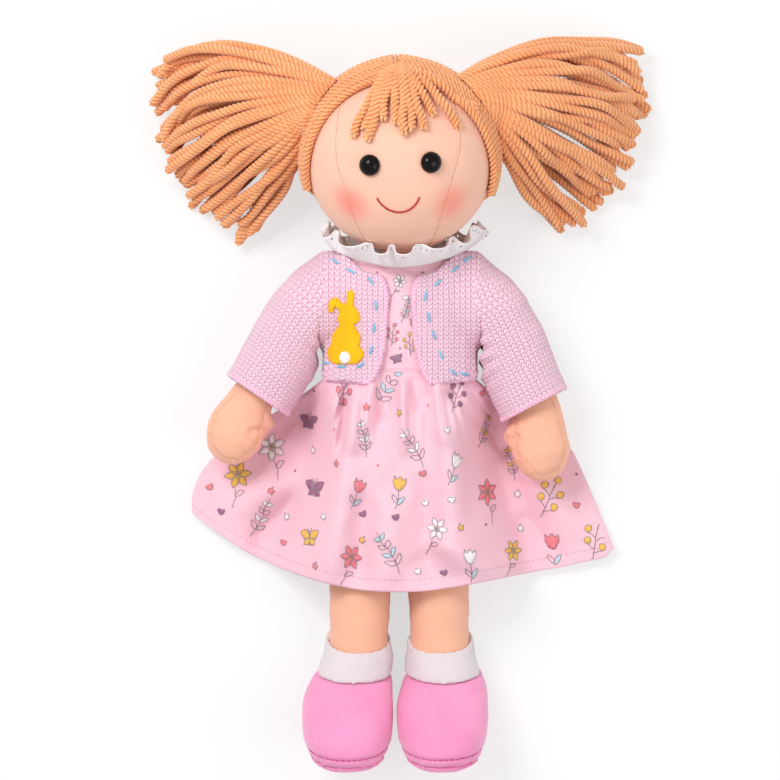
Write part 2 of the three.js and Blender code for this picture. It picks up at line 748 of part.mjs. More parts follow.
// From above the ankle to the sole's seam: place along, width, reach of the toe and heel.
const shoeShares = [
  [-0.25, 0.78, 0.37, 0.37],
  [0, 0.83, 0.39, 0.4],
  [0.16, 0.92, 0.53, 0.39],
  [0.34, 0.99, 0.71, 0.36],
  [0.54, 1, 0.87, 0.31],
  [0.74, 0.97, 0.95, 0.25],
  [0.88, 0.92, 0.97, 0.2],
  [1, 0.85, 0.94, 0.14],
];

function shoeSection(side, along, width, toe, heel, sink = 0) {
  const { ankle, shoe } = footPlaces(side);
  const at = ankle.clone().addScaledVector(FOOT_DOWN, SHOE_HEIGHT * along + sink);
  at.addScaledVector(FOOT_TOE, (SHOE_LENGTH * (toe - heel)) / 2);
  at.x = mix(ankle.x, shoe.x, mix(0.4, 1, smooth(along, 0, 0.35)));
  return { at, width: SHOE_HALF_WIDTH * width, depth: (SHOE_LENGTH * (toe + heel)) / 2 };
}

const footLoft = (stations) =>
  solid(padded(stations, { sides: 20, steps: 1, round: 2.2, square: FOOT_DOWN }));

const shoeForm = (side) => footLoft(shoeShares.map((row) => shoeSection(side, ...row)));

function soleForm(side) {
  const [along, width, toe, heel] = shoeShares[shoeShares.length - 1];
  const stations = [[0, 1], [0.3, 0.98], [0.62, 0.88], [0.86, 0.66], [1, 0.36]].map(([down, share]) => {
    const middle = (toe - heel) / 2;
    const half = ((toe + heel) / 2) * share;
    const sink = GAP + SOLE_THICKNESS * down;
    return shoeSection(side, along, width * share, middle + half, half - middle, sink);
  });
  return footLoft(stations);
}

// The seat as a thigh meets it while the doll sits up and its legs spread.
function seatSwept(side) {
  const { hip } = footPlaces(side);
  const seat = bodyForm(3 * GAP)
    .intersect(box(v(-REACH, -REACH, 0), v(REACH, -WAIST_TO_SEAT / 2, REACH)))
    .translate([-hip.x, GAP - hip.y, -hip.z]);
  const steps = 3;
  const turned = [];
  const spread = THREE.MathUtils.radToDeg(-side.sign * LEG_SPREAD);
  for (let k = 0; k <= steps; k++) {
    const up = seat.rotate([THREE.MathUtils.radToDeg((SIT_FOLD * k) / steps), 0, 0]);
    turned.push(up);
    if (k > 1) turned.push(up.rotate([0, 0, spread]));
  }
  return join(...turned).translate([hip.x, hip.y - GAP, hip.z]);
}

function leg(side) {
  node(`leg_${side.name}`, cut(legForm(side, 0), cuffPlane(side, 0, 1), seatSwept(side)), SKIN);
  const { ankle, shoe } = footPlaces(side);
  const band = (along) => {
    const at = ankle.clone().add(v(0, along * SOCK_HEIGHT, 0));
    at.x = mix(ankle.x, shoe.x, along < 0.5 ? 0.3 * (1 - along) : 0);
    const radius = ANKLE_RADIUS + SOCK_THICKNESS + GAP * (along < 0.5 ? 4 : 0);
    return { at, width: radius, depth: radius };
  };
  const bands = [-0.7, -0.1, 0.5, 1.2, 1.9].map(band);
  const tube = solid(padded(bands, { sides: 20, steps: 1, square: v(0, 1, 0) }));
  const ends = [cuffPlane(side, 0, 1), cuffPlane(side, -SOCK_HEIGHT, -1)];
  node(`sock_${side.name}`, cut(tube, legForm(side, GAP), ...ends, TABLE), WHITE);
  node(`shoe_${side.name}`, cut(shoeForm(side), cuffPlane(side, GAP, -1), TABLE), SHOE);
  node(`sole_${side.name}`, cut(soleForm(side), TABLE), SHOE);
}

// Head, built about its own centre

function eyeFrame(sign) {
  const x = sign * EYE_SPREAD;
  const z = Math.sqrt(HEAD_RADIUS ** 2 - x ** 2 - EYE_DROP ** 2);
  const out = v(x, -EYE_DROP, z).normalize();
  const turn = new THREE.Quaternion().setFromUnitVectors(v(0, 1, 0), out);
  return { out, turn };
}

// A turned shape whose axis runs out of the face through an eye.
function turned(profile, sides, sign, height) {
  const { out, turn } = eyeFrame(sign);
  const shape = new THREE.LatheGeometry(profile.map(([r, h]) => new THREE.Vector2(r, h)), sides);
  shape.applyQuaternion(turn);
  const at = out.clone().multiplyScalar(HEAD_RADIUS + height);
  return solid(shape.translate(at.x, at.y, at.z));
}

// A domed button with a shank that tapers at its end.
function eye(side) {
  const profile = [
    [0, -SHANK_LENGTH],
    [SHANK_RADIUS * 0.6, -SHANK_LENGTH],
    [SHANK_RADIUS, -SHANK_LENGTH + SHANK_RADIUS],
    [SHANK_RADIUS, 0],
    [EYE_RADIUS * 0.92, 0],
  ];
  const steps = 4;
  for (let k = 0; k <= steps; k++) {
    const angle = (k / steps) * (Math.PI / 2);
    profile.push([EYE_RADIUS * Math.cos(angle), EYE_DOME * (0.08 + 0.92 * Math.sin(angle))]);
  }
  profile[profile.length - 1][0] = 0;
  node(`eye_${side.name}`, turned(profile, 16, side.sign, GAP), BLACK, headGroup);
  const washer = [
    [SHANK_RADIUS + GAP, 0],
    [WASHER_RADIUS, 0],
    [WASHER_RADIUS, WASHER_THICKNESS],
    [SHANK_RADIUS + GAP, WASHER_THICKNESS],
    [SHANK_RADIUS + GAP, 0],
  ];
  const flat = turned(washer, 16, side.sign, -WASHER_DEPTH - WASHER_THICKNESS);
  node(`eye_washer_${side.name}`, flat, NATURAL, headGroup);
}

// Room in the stuffing for a shank and its washer.
function eyePocket(sign) {
  const low = -SHANK_LENGTH - GAP;
  const profile = [
    [0, low],
    [SHANK_RADIUS + GAP, low],
    [SHANK_RADIUS + GAP, -WASHER_DEPTH - WASHER_THICKNESS - GAP],
    [WASHER_RADIUS + GAP, -WASHER_DEPTH - WASHER_THICKNESS - GAP],
    [WASHER_RADIUS + GAP, -WASHER_DEPTH + GAP],
    [SHANK_RADIUS + GAP, -WASHER_DEPTH + GAP],
    [SHANK_RADIUS + GAP, OVERRUN],
    [0, OVERRUN],
  ];
  return turned(profile, 12, sign, 0);
}

function head() {
  const stuffed = ball(v(0, 0, 0), HEAD_RADIUS, 28);
  node("head", cut(stuffed, ...SIDES.map((side) => eyePocket(side.sign))), SKIN, headGroup);
}

// Where a bunch leaves the hair, and the way it points.
function tieFrame(sign) {
  const out = v(sign * Math.cos(TIE_ANGLE), Math.sin(TIE_ANGLE), 0);
  const root = out.clone().multiplyScalar(HAIR_RADIUS + ROOT_RADIUS - ROOT_SINK);
  return { out, root };
}

// The hair covers the head behind an oval round the face and ends above the nape.
function hair(side) {
  const oval = [];
  const points = 28;
  for (let k = 0; k <= points; k++) {
    const angle = (k / points) * Math.PI;
    oval.push([HAIRLINE_WIDTH * Math.cos(angle), HAIRLINE_HEIGHT * Math.sin(angle)]);
  }
  oval.push([-HAIRLINE_WIDTH, -REACH / 2], [HAIRLINE_WIDTH, -REACH / 2]);
  const slope = v(0, -HAIR_RADIUS, NAPE_DROP - SIDE_HAIR_DROP - HAIR_RADIUS / 2);
  const shell = cut(
    ball(v(0, 0, 0), HAIR_RADIUS, 28),
    ball(v(0, 0, 0), HEAD_RADIUS + GAP, 28),
    stencil(oval, 0, REACH),
    beyond(v(0, -SIDE_HAIR_DROP, HAIR_RADIUS - HEAD_RADIUS), slope, REACH),
    beyond(v(0, 0, -HEAD_LEVEL), v(0, 0, -1), REACH),
    beyond(v((side.sign * GAP) / 2, 0, 0), v(-side.sign, 0, 0), REACH),
    ball(tieFrame(side.sign).root, ROOT_RADIUS + GAP, 20),
  );
  node(`hair_${side.name}`, shell, HAIR, headGroup);
}

// One strand: a thin tube along a smooth path, open to be joined with its neighbours.
function strand(points, radius, steps, sides) {
  const path = new THREE.CatmullRomCurve3(points);
  const frames = path.computeFrenetFrames(steps, false);
  const rings = [];
  for (let i = 0; i <= steps; i++) {
    const thin = i === steps ? radius * 0.7 : radius;
    const [across, deep] = [frames.normals[i], frames.binormals[i]];
    rings.push(section(path.getPointAt(i / steps), across, deep, thin, thin, sides, 2));
  }
  return solid(loft(rings));
}

// A bunch fans out of the tie, arches over and falls outwards to the table. Strands side by
// side make ridges along it, and their cut ends differ in length.
// From the lowest strand to the highest: how far round the fan, and where each one ends.
const endShares = [0.98, 1.02, 0.95, 1.01, 0.94, 1, 1.03, 0.96, 1.02, 0.93, 0.99, 0.92, 0.96];
// From the tie to the ends: place along the strands, half depth of the bunch.
const fanShares = [
  [0, 0.42],
  [0.1, 0.75],
  [0.24, 1],
  [0.42, 1.08],
  [0.62, 1],
  [0.82, 0.86],
  [1, 0.66],
];

function fanPoint(side, across, along) {
  const { out, root } = tieFrame(side.sign);
  const rise = (across + 1) / 2;
  const leave = mix(-Math.PI / 2, FAN_TOP_ANGLE, rise);
  const fall = mix(BUNCH_LOW_ANGLE, BUNCH_TOP_ANGLE, rise);
  const long = endShares[Math.round(rise * (RIDGES - 1))];
  const toward = (angle, distance) =>
    v(side.sign * Math.cos(angle), Math.sin(angle), 0).multiplyScalar(distance * BUNCH_LENGTH);
  const start = v(-out.y * side.sign, Math.abs(out.x), 0).multiplyScalar(across * ROOT_RADIUS * 0.6);
  const bend = toward(leave, mix(LOW_BEND_SHARE, TOP_BEND_SHARE, rise));
  const end = toward(fall, long);
  const point = root.clone().addScaledVector(start, (1 - along) ** 2);
  point.addScaledVector(bend, 2 * along * (1 - along)).addScaledVector(end, along ** 2);
  point.z = -(HEAD_LEVEL - BUNCH_DEPTH * 0.66 - YARN * 0.5) * along ** 1.4;
  return point;
}

function fanRing(side, along, thick) {
  const ring = [];
  const steps = RIDGES * 2;
  for (const face of [1, -1]) {
    for (let k = face > 0 ? 0 : 1; k < steps + (face > 0 ? 1 : 0); k++) {
      const across = face * ((k / steps) * 2 - 1);
      const valley = k % 2 === 0;
      const back = along === 1 && valley ? YARN * 0.5 : 0;
      const point = fanPoint(side, across, along - back / BUNCH_LENGTH);
      const round = Math.sqrt(1 - Math.abs(across) ** 3);
      const ripple = valley ? 0 : YARN * 0.35 * smooth(along, 0, 0.2);
      point.z += face * (BUNCH_DEPTH * thick * round + ripple);
      ring.push(point);
    }
  }
  return ring;
}

// The hair on the head as the bunch meets it while it swings forward.
function hairSwept(side) {
  const { out, root } = tieFrame(side.sign);
  const axle = v(out.y, -out.x, 0);
  const balls = [];
  const steps = 3;
  for (let k = 0; k <= steps; k++) {
    const turn = (BUNCH_SWING * k) / steps;
    const centre = root.clone().negate().applyAxisAngle(axle, -turn).add(root);
    balls.push(ball(centre, HAIR_RADIUS + 2 * GAP, 28));
  }
  return join(...balls);
}

function bunch(side) {
  const { out, root } = tieFrame(side.sign);
  const fan = solid(loft(fanShares.map(([along, thick]) => fanRing(side, along, thick))));
  const past = (distance) => root.clone().addScaledVector(out, distance);
  const low = past(TIE_START - GAP);
  const high = past(TIE_START + TIE_WIDTH + GAP);
  const tieSpace = rod(low, high, ROOT_RADIUS + TIE_THICKNESS + GAP, 20);
  const waist = rod(root, past(TIE_START + TIE_WIDTH + YARN), ROOT_RADIUS - GAP, 16);
  const shape = join(cut(fan, tieSpace, hairSwept(side)), ball(root, ROOT_RADIUS, 16), waist);
  node(`pigtail_${side.name}`, shape, HAIR, headGroup);
}

// The band round the root of a bunch.
function hairTie(side) {
  const { out, root } = tieFrame(side.sign);
  const outer = ROOT_RADIUS + TIE_THICKNESS;
  const ring = new THREE.LatheGeometry(
    [
      [ROOT_RADIUS + GAP, 0],
      [outer, TIE_WIDTH * 0.2],
      [outer, TIE_WIDTH * 0.8],
      [ROOT_RADIUS + GAP, TIE_WIDTH],
      [ROOT_RADIUS + GAP, 0],
    ].map(([r, h]) => new THREE.Vector2(r, h)),
    20,
  );
  ring.applyQuaternion(new THREE.Quaternion().setFromUnitVectors(v(0, 1, 0), out));
  const at = root.clone().addScaledVector(out, TIE_START);
  node(`hair_tie_${side.name}`, ring.translate(at.x, at.y, at.z), HAIR, headGroup);
}

// Short ends that start at the parting, lie over the hair and reach the forehead.
const fringeShares = [
  [-0.86, 1], [-0.62, 0.86], [-0.36, 0.95], [-0.12, 0.82], [0.1, 0.94], [0.34, 0.84], [0.6, 0.98],
  [0.85, 0.8],
];

function fringe() {
  const over = HAIR_RADIUS + GAP + LOCK / 2;
  const onForehead = HEAD_RADIUS + 2 * GAP + LOCK / 2;
  const place = (radius, rise, sideways) =>
    v(
      radius * Math.sin(sideways) * Math.cos(rise),
      radius * Math.sin(rise),
      radius * Math.cos(sideways) * Math.cos(rise),
    );
  const strands = fringeShares.map(([across, long]) => {
    const reach = (FRINGE_LENGTH / HEAD_RADIUS) * long;
    return strand(
      [
        place(over, PARTING_ANGLE, across * 0.15),
        place(over, PARTING_ANGLE - reach * 0.3, across * 0.5),
        place(over, PARTING_ANGLE - reach * 0.6, across * 0.62),
        place(onForehead + GAP * 4, PARTING_ANGLE - reach * 0.8, across * 0.66),
        place(onForehead, PARTING_ANGLE - reach, across * 0.68),
      ],
      LOCK / 2,
      4,
      5,
    );
  });
  const knot = ball(place(over, PARTING_ANGLE, 0), YARN, 10);
  const lock = cut(join(knot, ...strands), ball(v(0, 0, 0), HEAD_RADIUS + GAP, 28));
  const aboveHairline = box(v(-REACH, HAIRLINE_HEIGHT - OVERRUN, -REACH), v(REACH, REACH, REACH));
  const hairSpace = ball(v(0, 0, 0), HAIR_RADIUS + GAP, 28).intersect(aboveHairline);
  node("fringe", cut(lock, hairSpace), HAIR, headGroup);
}

torso();
neck();
head();
for (const side of SIDES) {
  eye(side);
  hair(side);
  bunch(side);
  hairTie(side);
}
fringe();
dressBodice();
dressSkirt();
neckFrill();
cardigan();
motif();
for (const side of SIDES) {
  arm(side);
  leg(side);
}

export default doll;
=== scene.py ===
"""Dresses the soft doll: stuffed cotton limbs, plied yarn hair, knitted cardigan, printed cotton
dress with a voile ruffle, jersey socks and fleece shoes. Sizes are in millimetres until a mesh is
made, +Y runs to the head, +Z out of the chest and +X to the doll's own left hand."""
import random
from functools import partial
from math import atan2, copysign, cos, exp, hypot, pi, radians, sin, sqrt, tau

import bmesh
import bpy
from mathutils import Matrix, Vector, noise
from mathutils.bvhtree import BVHTree


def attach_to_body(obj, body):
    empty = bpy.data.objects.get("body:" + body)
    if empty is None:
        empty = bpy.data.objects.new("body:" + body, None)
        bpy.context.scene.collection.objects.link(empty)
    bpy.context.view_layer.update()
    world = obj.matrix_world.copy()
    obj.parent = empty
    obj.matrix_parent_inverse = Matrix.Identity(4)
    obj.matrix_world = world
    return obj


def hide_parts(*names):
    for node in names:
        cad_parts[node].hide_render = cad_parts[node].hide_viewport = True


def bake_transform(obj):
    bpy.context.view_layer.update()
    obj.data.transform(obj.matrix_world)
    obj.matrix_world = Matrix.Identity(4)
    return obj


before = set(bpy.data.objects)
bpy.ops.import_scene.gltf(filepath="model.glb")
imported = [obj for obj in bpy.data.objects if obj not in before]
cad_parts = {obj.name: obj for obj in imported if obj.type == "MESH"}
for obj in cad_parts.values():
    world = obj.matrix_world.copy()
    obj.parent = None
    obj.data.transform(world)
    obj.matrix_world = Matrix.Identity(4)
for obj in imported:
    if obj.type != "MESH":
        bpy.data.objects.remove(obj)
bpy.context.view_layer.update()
scene = bpy.context.scene
dice = random.Random(7)

MM = 0.001

# The doll's own sizes, as in the solids
BODY_LEVEL = 28.9
BODY_HALF_WIDTH, BODY_HALF_DEPTH = 38, 25
WAIST_SHARE, BODY_ROUND = 0.92, 2.3
HEAD_CENTRE = Vector((0, 113.1, 53.2))
HEAD_RADIUS, HAIR_RADIUS = 49.7, 53.7
HEAD_TILT = radians(2.5)
YARN = 4
SIDES = {"right": -1, "left": 1}
# Cloth stays this far above the table
ABOVE_TABLE = 0.1

# The doll is seen from straight above its chest: how many millimetres one pixel of the picture is,
# and the pixel of the doll's own middle
PICTURE, PIXEL = 780, 0.531
MIDDLE_X, MIDDLE_Y = 400, 371


def pixel(x, y):
    """Sideways and lengthwise place of a pixel of the picture, in millimetres."""
    return (x - MIDDLE_X) * PIXEL, (MIDDLE_Y - y) * PIXEL


# Making meshes

def finished(name, mesh, material, body):
    """A piece made of a mesh in metres. It rides on a body, unless that is None."""
    mesh.name = name
    mesh.materials.clear()
    mesh.materials.append(material)
    mesh.shade_smooth()
    obj = bpy.data.objects.new(name, mesh)
    scene.collection.objects.link(obj)
    if body:
        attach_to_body(obj, body)
    return obj


def piece(name, bm, material, body):
    """A piece made of a bmesh in millimetres."""
    bmesh.ops.scale(bm, vec=(MM, MM, MM), verts=bm.verts)
    mesh = bpy.data.meshes.new(name)
    bm.to_mesh(mesh)
    bm.free()
    return finished(name, mesh, material, body)


def stand_for(obj, node, body):
    """The piece rides on a body and takes the place of a node's solid."""
    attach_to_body(obj, body)
    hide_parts(node)


def cad_copy(node):
    """A node's solid in millimetres, with its loose triangles joined."""
    bm = bmesh.new()
    bm.from_mesh(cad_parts[node].data)
    bmesh.ops.scale(bm, vec=(1 / MM,) * 3, verts=bm.verts)
    bmesh.ops.remove_doubles(bm, verts=bm.verts, dist=0.01)
    bmesh.ops.recalc_face_normals(bm, faces=bm.faces)
    return bm


def bake_modifiers(obj):
    """Puts what the modifiers make into the mesh itself."""
    graph = bpy.context.evaluated_depsgraph_get()
    mesh = bpy.data.meshes.new_from_object(obj.evaluated_get(graph))
    obj.modifiers.clear()
    old, obj.data = obj.data, mesh
    mesh.name = obj.name
    bpy.data.meshes.remove(old)


def remesh(obj, voxel, smoothing):
    """Even small faces over the whole piece, with its sharp edges softened."""
    modifier = obj.modifiers.new("Remesh", "REMESH")
    modifier.mode = "VOXEL"
    modifier.voxel_size = voxel * MM
    relax = obj.modifiers.new("Smooth", "SMOOTH")
    relax.iterations = smoothing
    bake_modifiers(obj)


def subdivide(obj, levels):
    modifier = obj.modifiers.new("Subdivision", "SUBSURF")
    modifier.levels = modifier.render_levels = levels
    bake_modifiers(obj)
    obj.data.shade_smooth()


def thicken(obj, thickness, offset):
    """Gives a sheet its thickness: behind its face with an offset of -1, to either side with 0."""
    wall = obj.modifiers.new("Solidify", "SOLIDIFY")
    wall.thickness = thickness * MM
    wall.offset = offset
    bake_modifiers(obj)


STUFFING_PRESSURE, CLOTH_STEPS = 4, 20


def puff(obj, shrink, cap):
    """Inflates a stuffed piece as cloth: it starts a little small and swells up to a cap."""
    start = [vert.co - vert.normal * shrink * MM for vert in obj.data.vertices]
    for vert, place in zip(obj.data.vertices, start):
        vert.co = place
    cloth = obj.modifiers.new("Cloth", "CLOTH")
    cloth.settings.use_pressure = True
    cloth.settings.uniform_pressure_force = STUFFING_PRESSURE
    cloth.settings.effector_weights.gravity = 0
    cloth.point_cache.frame_start, cloth.point_cache.frame_end = 1, CLOTH_STEPS
    for step in range(1, CLOTH_STEPS + 1):
        scene.frame_set(step)
    bake_modifiers(obj)
    scene.frame_set(1)
    for vert, place in zip(obj.data.vertices, start):
        shift = vert.co - place
        if shift.length > cap * MM:
            vert.co = place + shift * (cap * MM / shift.length)
        vert.co.z = max(vert.co.z, 2 * ABOVE_TABLE * MM)


def push(obj, amount):
    """Moves each point along its normal by amount(place, normal), both in millimetres."""
    normals = [vert.normal.copy() for vert in obj.data.vertices]
    for vert, normal in zip(obj.data.vertices, normals):
        vert.co += normal * amount(vert.co / MM, normal) * MM
        vert.co.z = max(vert.co.z, ABOVE_TABLE * MM)
    obj.data.update()


def give_uv(obj, place_to_uv):
    """A UV map worked out from each corner's place and normal, in pattern repeats."""
    layer = obj.data.uv_layers.new(name="Pattern")
    for loop in obj.data.loops:
        vert = obj.data.vertices[loop.vertex_index]
        layer.data[loop.index].uv = place_to_uv(vert.co / MM, vert.normal)


def blob(t, width):
    """A smooth bump, 1 in the middle."""
    return exp(-((t / width) ** 2))


def smooth(t, low, high):
    """Rises smoothly from 0 at low to 1 at high."""
    t = min(max((t - low) / (high - low), 0), 1)
    return t * t * (3 - 2 * t)


def mix(a, b, t):
    return a + (b - a) * t


def shares(count):
    """Even steps from 0 to 1."""
    return [k / count for k in range(count + 1)]


def ring_of(points):
    """A closed outline: the first point once more at the end."""
    return points + points[:1]


def surface_of(*objects):
    """A tree that finds points on the pieces' surfaces, in metres."""
    verts, faces = [], []
    for obj in objects:
        start = len(verts)
        verts += [vert.co.copy() for vert in obj.data.vertices]
        faces += [[start + i for i in face.vertices] for face in obj.data.polygons]
    return BVHTree.FromPolygons(verts, faces)


def dropped(tree, x, y, lift=0.0):
    """The point of a surface straight below a place, in millimetres, and its normal."""
    hit, normal, _, _ = tree.ray_cast(Vector((x, y, 200)) * MM, Vector((0, 0, -1)))
    if hit is None:
        return None, None
    return hit / MM + normal * lift, normal


def bisected(bm, place, normal, clear_outer=False):
    """Cuts a bmesh at a plane and gives what lies on the cut."""
    parts = bm.verts[:] + bm.edges[:] + bm.faces[:]
    return bmesh.ops.bisect_plane(bm, geom=parts, plane_co=place, plane_no=normal,
                                  clear_outer=clear_outer)["geom_cut"]


def loop_at(obj, place, normal):
    """The line where a plane meets a closed piece, as points in order, in millimetres."""
    bm = bmesh.new()
    bm.from_mesh(obj.data)
    cut = bisected(bm, Vector(place) * MM, normal)
    edges = {item for item in cut if isinstance(item, bmesh.types.BMEdge)}
    loops = []
    while edges:
        edge = edges.pop()
        chain = [edge.verts[0], edge.verts[1]]
        while True:
            after = next((e for e in chain[-1].link_edges if e in edges), None)
            if after is None:
                break
            edges.remove(after)
            chain.append(after.other_vert(chain[-1]))
        loops.append([vert.co / MM for vert in chain])
    bm.free()
    return max(loops, key=len)


# Distance between the points of a stitch
STITCH_STEP = 0.4


def running(path, length, gap, lift):
    """Short runs of a path, as a running stitch shows it. lift(place) is the way out of the cloth."""
    points = resampled(path, STITCH_STEP)
    shown = max(2, round(length / STITCH_STEP))
    period = max(3, round((length + gap) / STITCH_STEP))
    runs = []
    for first in range(0, len(points) - shown, period):
        run = []
        for i, place in enumerate(points[first:first + shown + 1]):
            run.append(place + lift(place) * sin(pi * i / shown))
        runs.append(run)
    return runs


# Yarn, cords and threads

def lobed_profile(radius, plies, depth, points):
    """The outline of a twisted yarn, for a curve's bevel: round plies with sharp valleys between."""
    data = bpy.data.curves.new("yarn_section", "CURVE")
    data.dimensions = "2D"
    spline = data.splines.new("POLY")
    spline.points.add(points - 1)
    for k, point in enumerate(spline.points):
        turn = tau * k / points
        reach = radius * MM * (1 - depth + depth * abs(sin(plies * turn / 2)))
        point.co = (reach * cos(turn), reach * sin(turn), 0, 1)
    spline.use_cyclic_u = True
    obj = bpy.data.objects.new("yarn_section", data)
    scene.collection.objects.link(obj)
    return obj


def resampled(path, step):
    """The same path with points at an even distance."""
    lengths = [0]
    for a, b in zip(path, path[1:]):
        lengths.append(lengths[-1] + (b - a).length)
    count = max(2, round(lengths[-1] / step))
    points, k = [], 0
    for i in range(count + 1):
        want = lengths[-1] * i / count
        while k < len(path) - 2 and lengths[k + 1] < want:
            k += 1
        share = (want - lengths[k]) / max(lengths[k + 1] - lengths[k], 1e-6)
        points.append(path[k].lerp(path[k + 1], min(share, 1)))
    return points


def spun(name, paths, radius, material, body, plies=3, turn=8.0, step=0.85, depth=0.26, points=9,
         taper=None, closed=False):
    """Twisted yarns along paths in millimetres. turn is the length of one full twist."""
    profile = lobed_profile(radius, plies, depth, points)
    data = bpy.data.curves.new(name, "CURVE")
    data.dimensions = "3D"
    data.bevel_mode = "OBJECT"
    data.bevel_object = profile
    data.use_fill_caps = True
    data.twist_mode = "MINIMUM"
    for path in paths:
        places = resampled(path, step)
        if closed:
            places.pop()
        spline = data.splines.new("POLY")
        spline.points.add(len(places) - 1)
        spline.use_cyclic_u = closed
        first = dice.uniform(0, 6)
        for k, place in enumerate(places):
            spline.points[k].co = (*(place * MM), 1)
            spline.points[k].tilt = first + tau * k * step / turn
            spline.points[k].radius = taper(k / (len(places) - 1)) if taper else 1
    maker = bpy.data.objects.new(name + "_path", data)
    scene.collection.objects.link(maker)
    graph = bpy.context.evaluated_depsgraph_get()
    mesh = bpy.data.meshes.new_from_object(maker.evaluated_get(graph))
    for used in (maker, profile):
        bpy.data.objects.remove(used)
    if depth:
        marks = mesh.attributes.new("ply", "FLOAT", "POINT")
        marks.data.foreach_set("value", [abs(sin(plies * pi * (k % points) / points))
                                         for k in range(len(mesh.vertices))])
    return finished(name, mesh, material, body)


def sewn(name, runs, radius, material, body, turn=1.6, step=0.5):
    """Stitches of a two-ply thread."""
    return spun(name, runs, radius, material, body, plies=2, turn=turn, step=step, points=6)


# Materials

def srgb(code):
    """A hex colour turned to linear RGBA."""
    parts = [int(code[k:k + 2], 16) / 255 for k in (1, 3, 5)]
    return tuple(p / 12.92 if p <= 0.04045 else ((p + 0.055) / 1.055) ** 2.4 for p in parts) + (1,)


def set_inputs(material, node, values):
    """Sets a node's inputs. A node given as a value stands for its first output."""
    for key, value in values.items():
        if isinstance(value, bpy.types.Node):
            value = value.outputs[0]
        if isinstance(value, bpy.types.NodeSocket):
            material.node_tree.links.new(value, node.inputs[key])
        else:
            node.inputs[key].default_value = value


def add_node(material, kind, values=None, **settings):
    """Adds a node with its settings and inputs."""
    node = material.node_tree.nodes.new("ShaderNode" + kind)
    for key, value in settings.items():
        setattr(node, key, value)
    set_inputs(material, node, values or {})
    return node


def blank(name):
    """A material with its Principled shader, and the way to add a node to it."""
    material = bpy.data.materials.new(name)
    material.use_nodes = True
    return material, partial(add_node, material)


def shaded(material, values):
    """The material, with the inputs of its Principled shader set."""
    set_inputs(material, material.node_tree.nodes["Principled BSDF"], values)
    return material


def woven_cotton(name, colour, thread, dark=0.93, sheen=0.25, roughness=0.85, spots=()):
    """Plain-woven cotton: crossed threads, uneven dye and a soft nap that lights up at the edges.
    A spot is its place, its reach, its colour and how strongly it covers the cloth."""
    material, add = blank(name)
    where = add("TexCoord").outputs["Object"]
    xyz = add("SeparateXYZ", {0: where})
    scale = pi / (thread * MM)
    waves = []
    for axis in (0, 1):
        phase = add("Math", {0: xyz.outputs[axis], 1: scale}, operation="MULTIPLY")
        waves.append(add("Math", {0: phase}, operation="SINE"))
    weave = add("Math", {0: waves[0], 1: waves[1]}, operation="MULTIPLY")
    uneven = add("TexNoise", {"Vector": where, "Scale": 60.0, "Detail": 6.0})
    base = srgb(colour)
    darker = (*(c * dark for c in base[:3]), 1)
    tone = add("MixRGB", {"Fac": uneven, "Color1": base, "Color2": darker})
    for place, reach, spot_colour, strength in spots:
        offset = add("VectorMath", {0: where, 1: tuple(Vector(place) * MM)}, operation="DISTANCE")
        fade = add("MapRange", {"Value": offset.outputs["Value"], "From Min": 0.0,
                                "From Max": reach * MM, "To Min": strength, "To Max": 0.0},
                   interpolation_type="SMOOTHERSTEP")
        tone = add("MixRGB", {"Fac": fade, "Color1": tone, "Color2": srgb(spot_colour)})
    bump = add("Bump", {"Height": weave, "Strength": 0.25, "Distance": thread * MM * 0.3})
    return shaded(material, {"Base Color": tone, "Normal": bump, "Roughness": roughness,
                             "Sheen Weight": sheen, "Sheen Roughness": 0.5})


def stocking_stitch(name, light, deep, relief, sheen=0.4):
    """Stocking stitch: columns of V-shaped loops with deeper gaps, read from a UV map in stitches.
    The colour deep is painted shade in the gaps and on the low parts of the loops.
    """
    material, add = blank(name)
    uv = add("SeparateXYZ", {0: add("TexCoord").outputs["UV"]})
    column = add("Math", {0: uv.outputs[0]}, operation="FRACT")
    off = add("Math", {0: column, 1: 0.5}, operation="SUBTRACT")
    side = add("Math", {0: off}, operation="ABSOLUTE")
    slant = add("Math", {0: side, 1: 1.3}, operation="MULTIPLY")
    climb = add("Math", {0: uv.outputs[1], 1: slant}, operation="SUBTRACT")
    row = add("Math", {0: climb}, operation="FRACT")
    half_turn = add("Math", {0: row, 1: pi}, operation="MULTIPLY")
    loop = add("Math", {0: half_turn}, operation="SINE")
    round_loop = add("Math", {0: loop, 1: 0.7}, operation="POWER")
    rib = add("MapRange", {"Value": side, "From Min": 0.52, "From Max": 0.36})
    middle = add("MapRange", {"Value": side, "From Min": 0.0, "From Max": 0.12, "To Min": 0.6})
    leg = add("Math", {0: rib, 1: middle}, operation="MINIMUM")
    height = add("Math", {0: round_loop, 1: leg}, operation="MULTIPLY")
    where = add("TexCoord").outputs["Object"]
    fuzz = add("TexNoise", {"Vector": where, "Scale": 900.0, "Detail": 4.0})
    # The colour follows a random fuzz and the loops' height: low places, between columns and rows, get
    # the deep colour as painted shade
    shade = add("Math", {0: fuzz, 1: 0.3, 2: height}, operation="MULTIPLY_ADD")
    ramp = add("MapRange", {"Value": shade, "From Min": 0.1, "From Max": 0.7})
    tone = add("MixRGB", {"Fac": ramp, "Color1": srgb(deep), "Color2": srgb(light)})
    bump = add("Bump", {"Height": shade, "Strength": 0.9, "Distance": relief * MM})
    return shaded(material, {"Base Color": tone, "Normal": bump, "Roughness": 0.9,
                             "Sheen Weight": sheen})


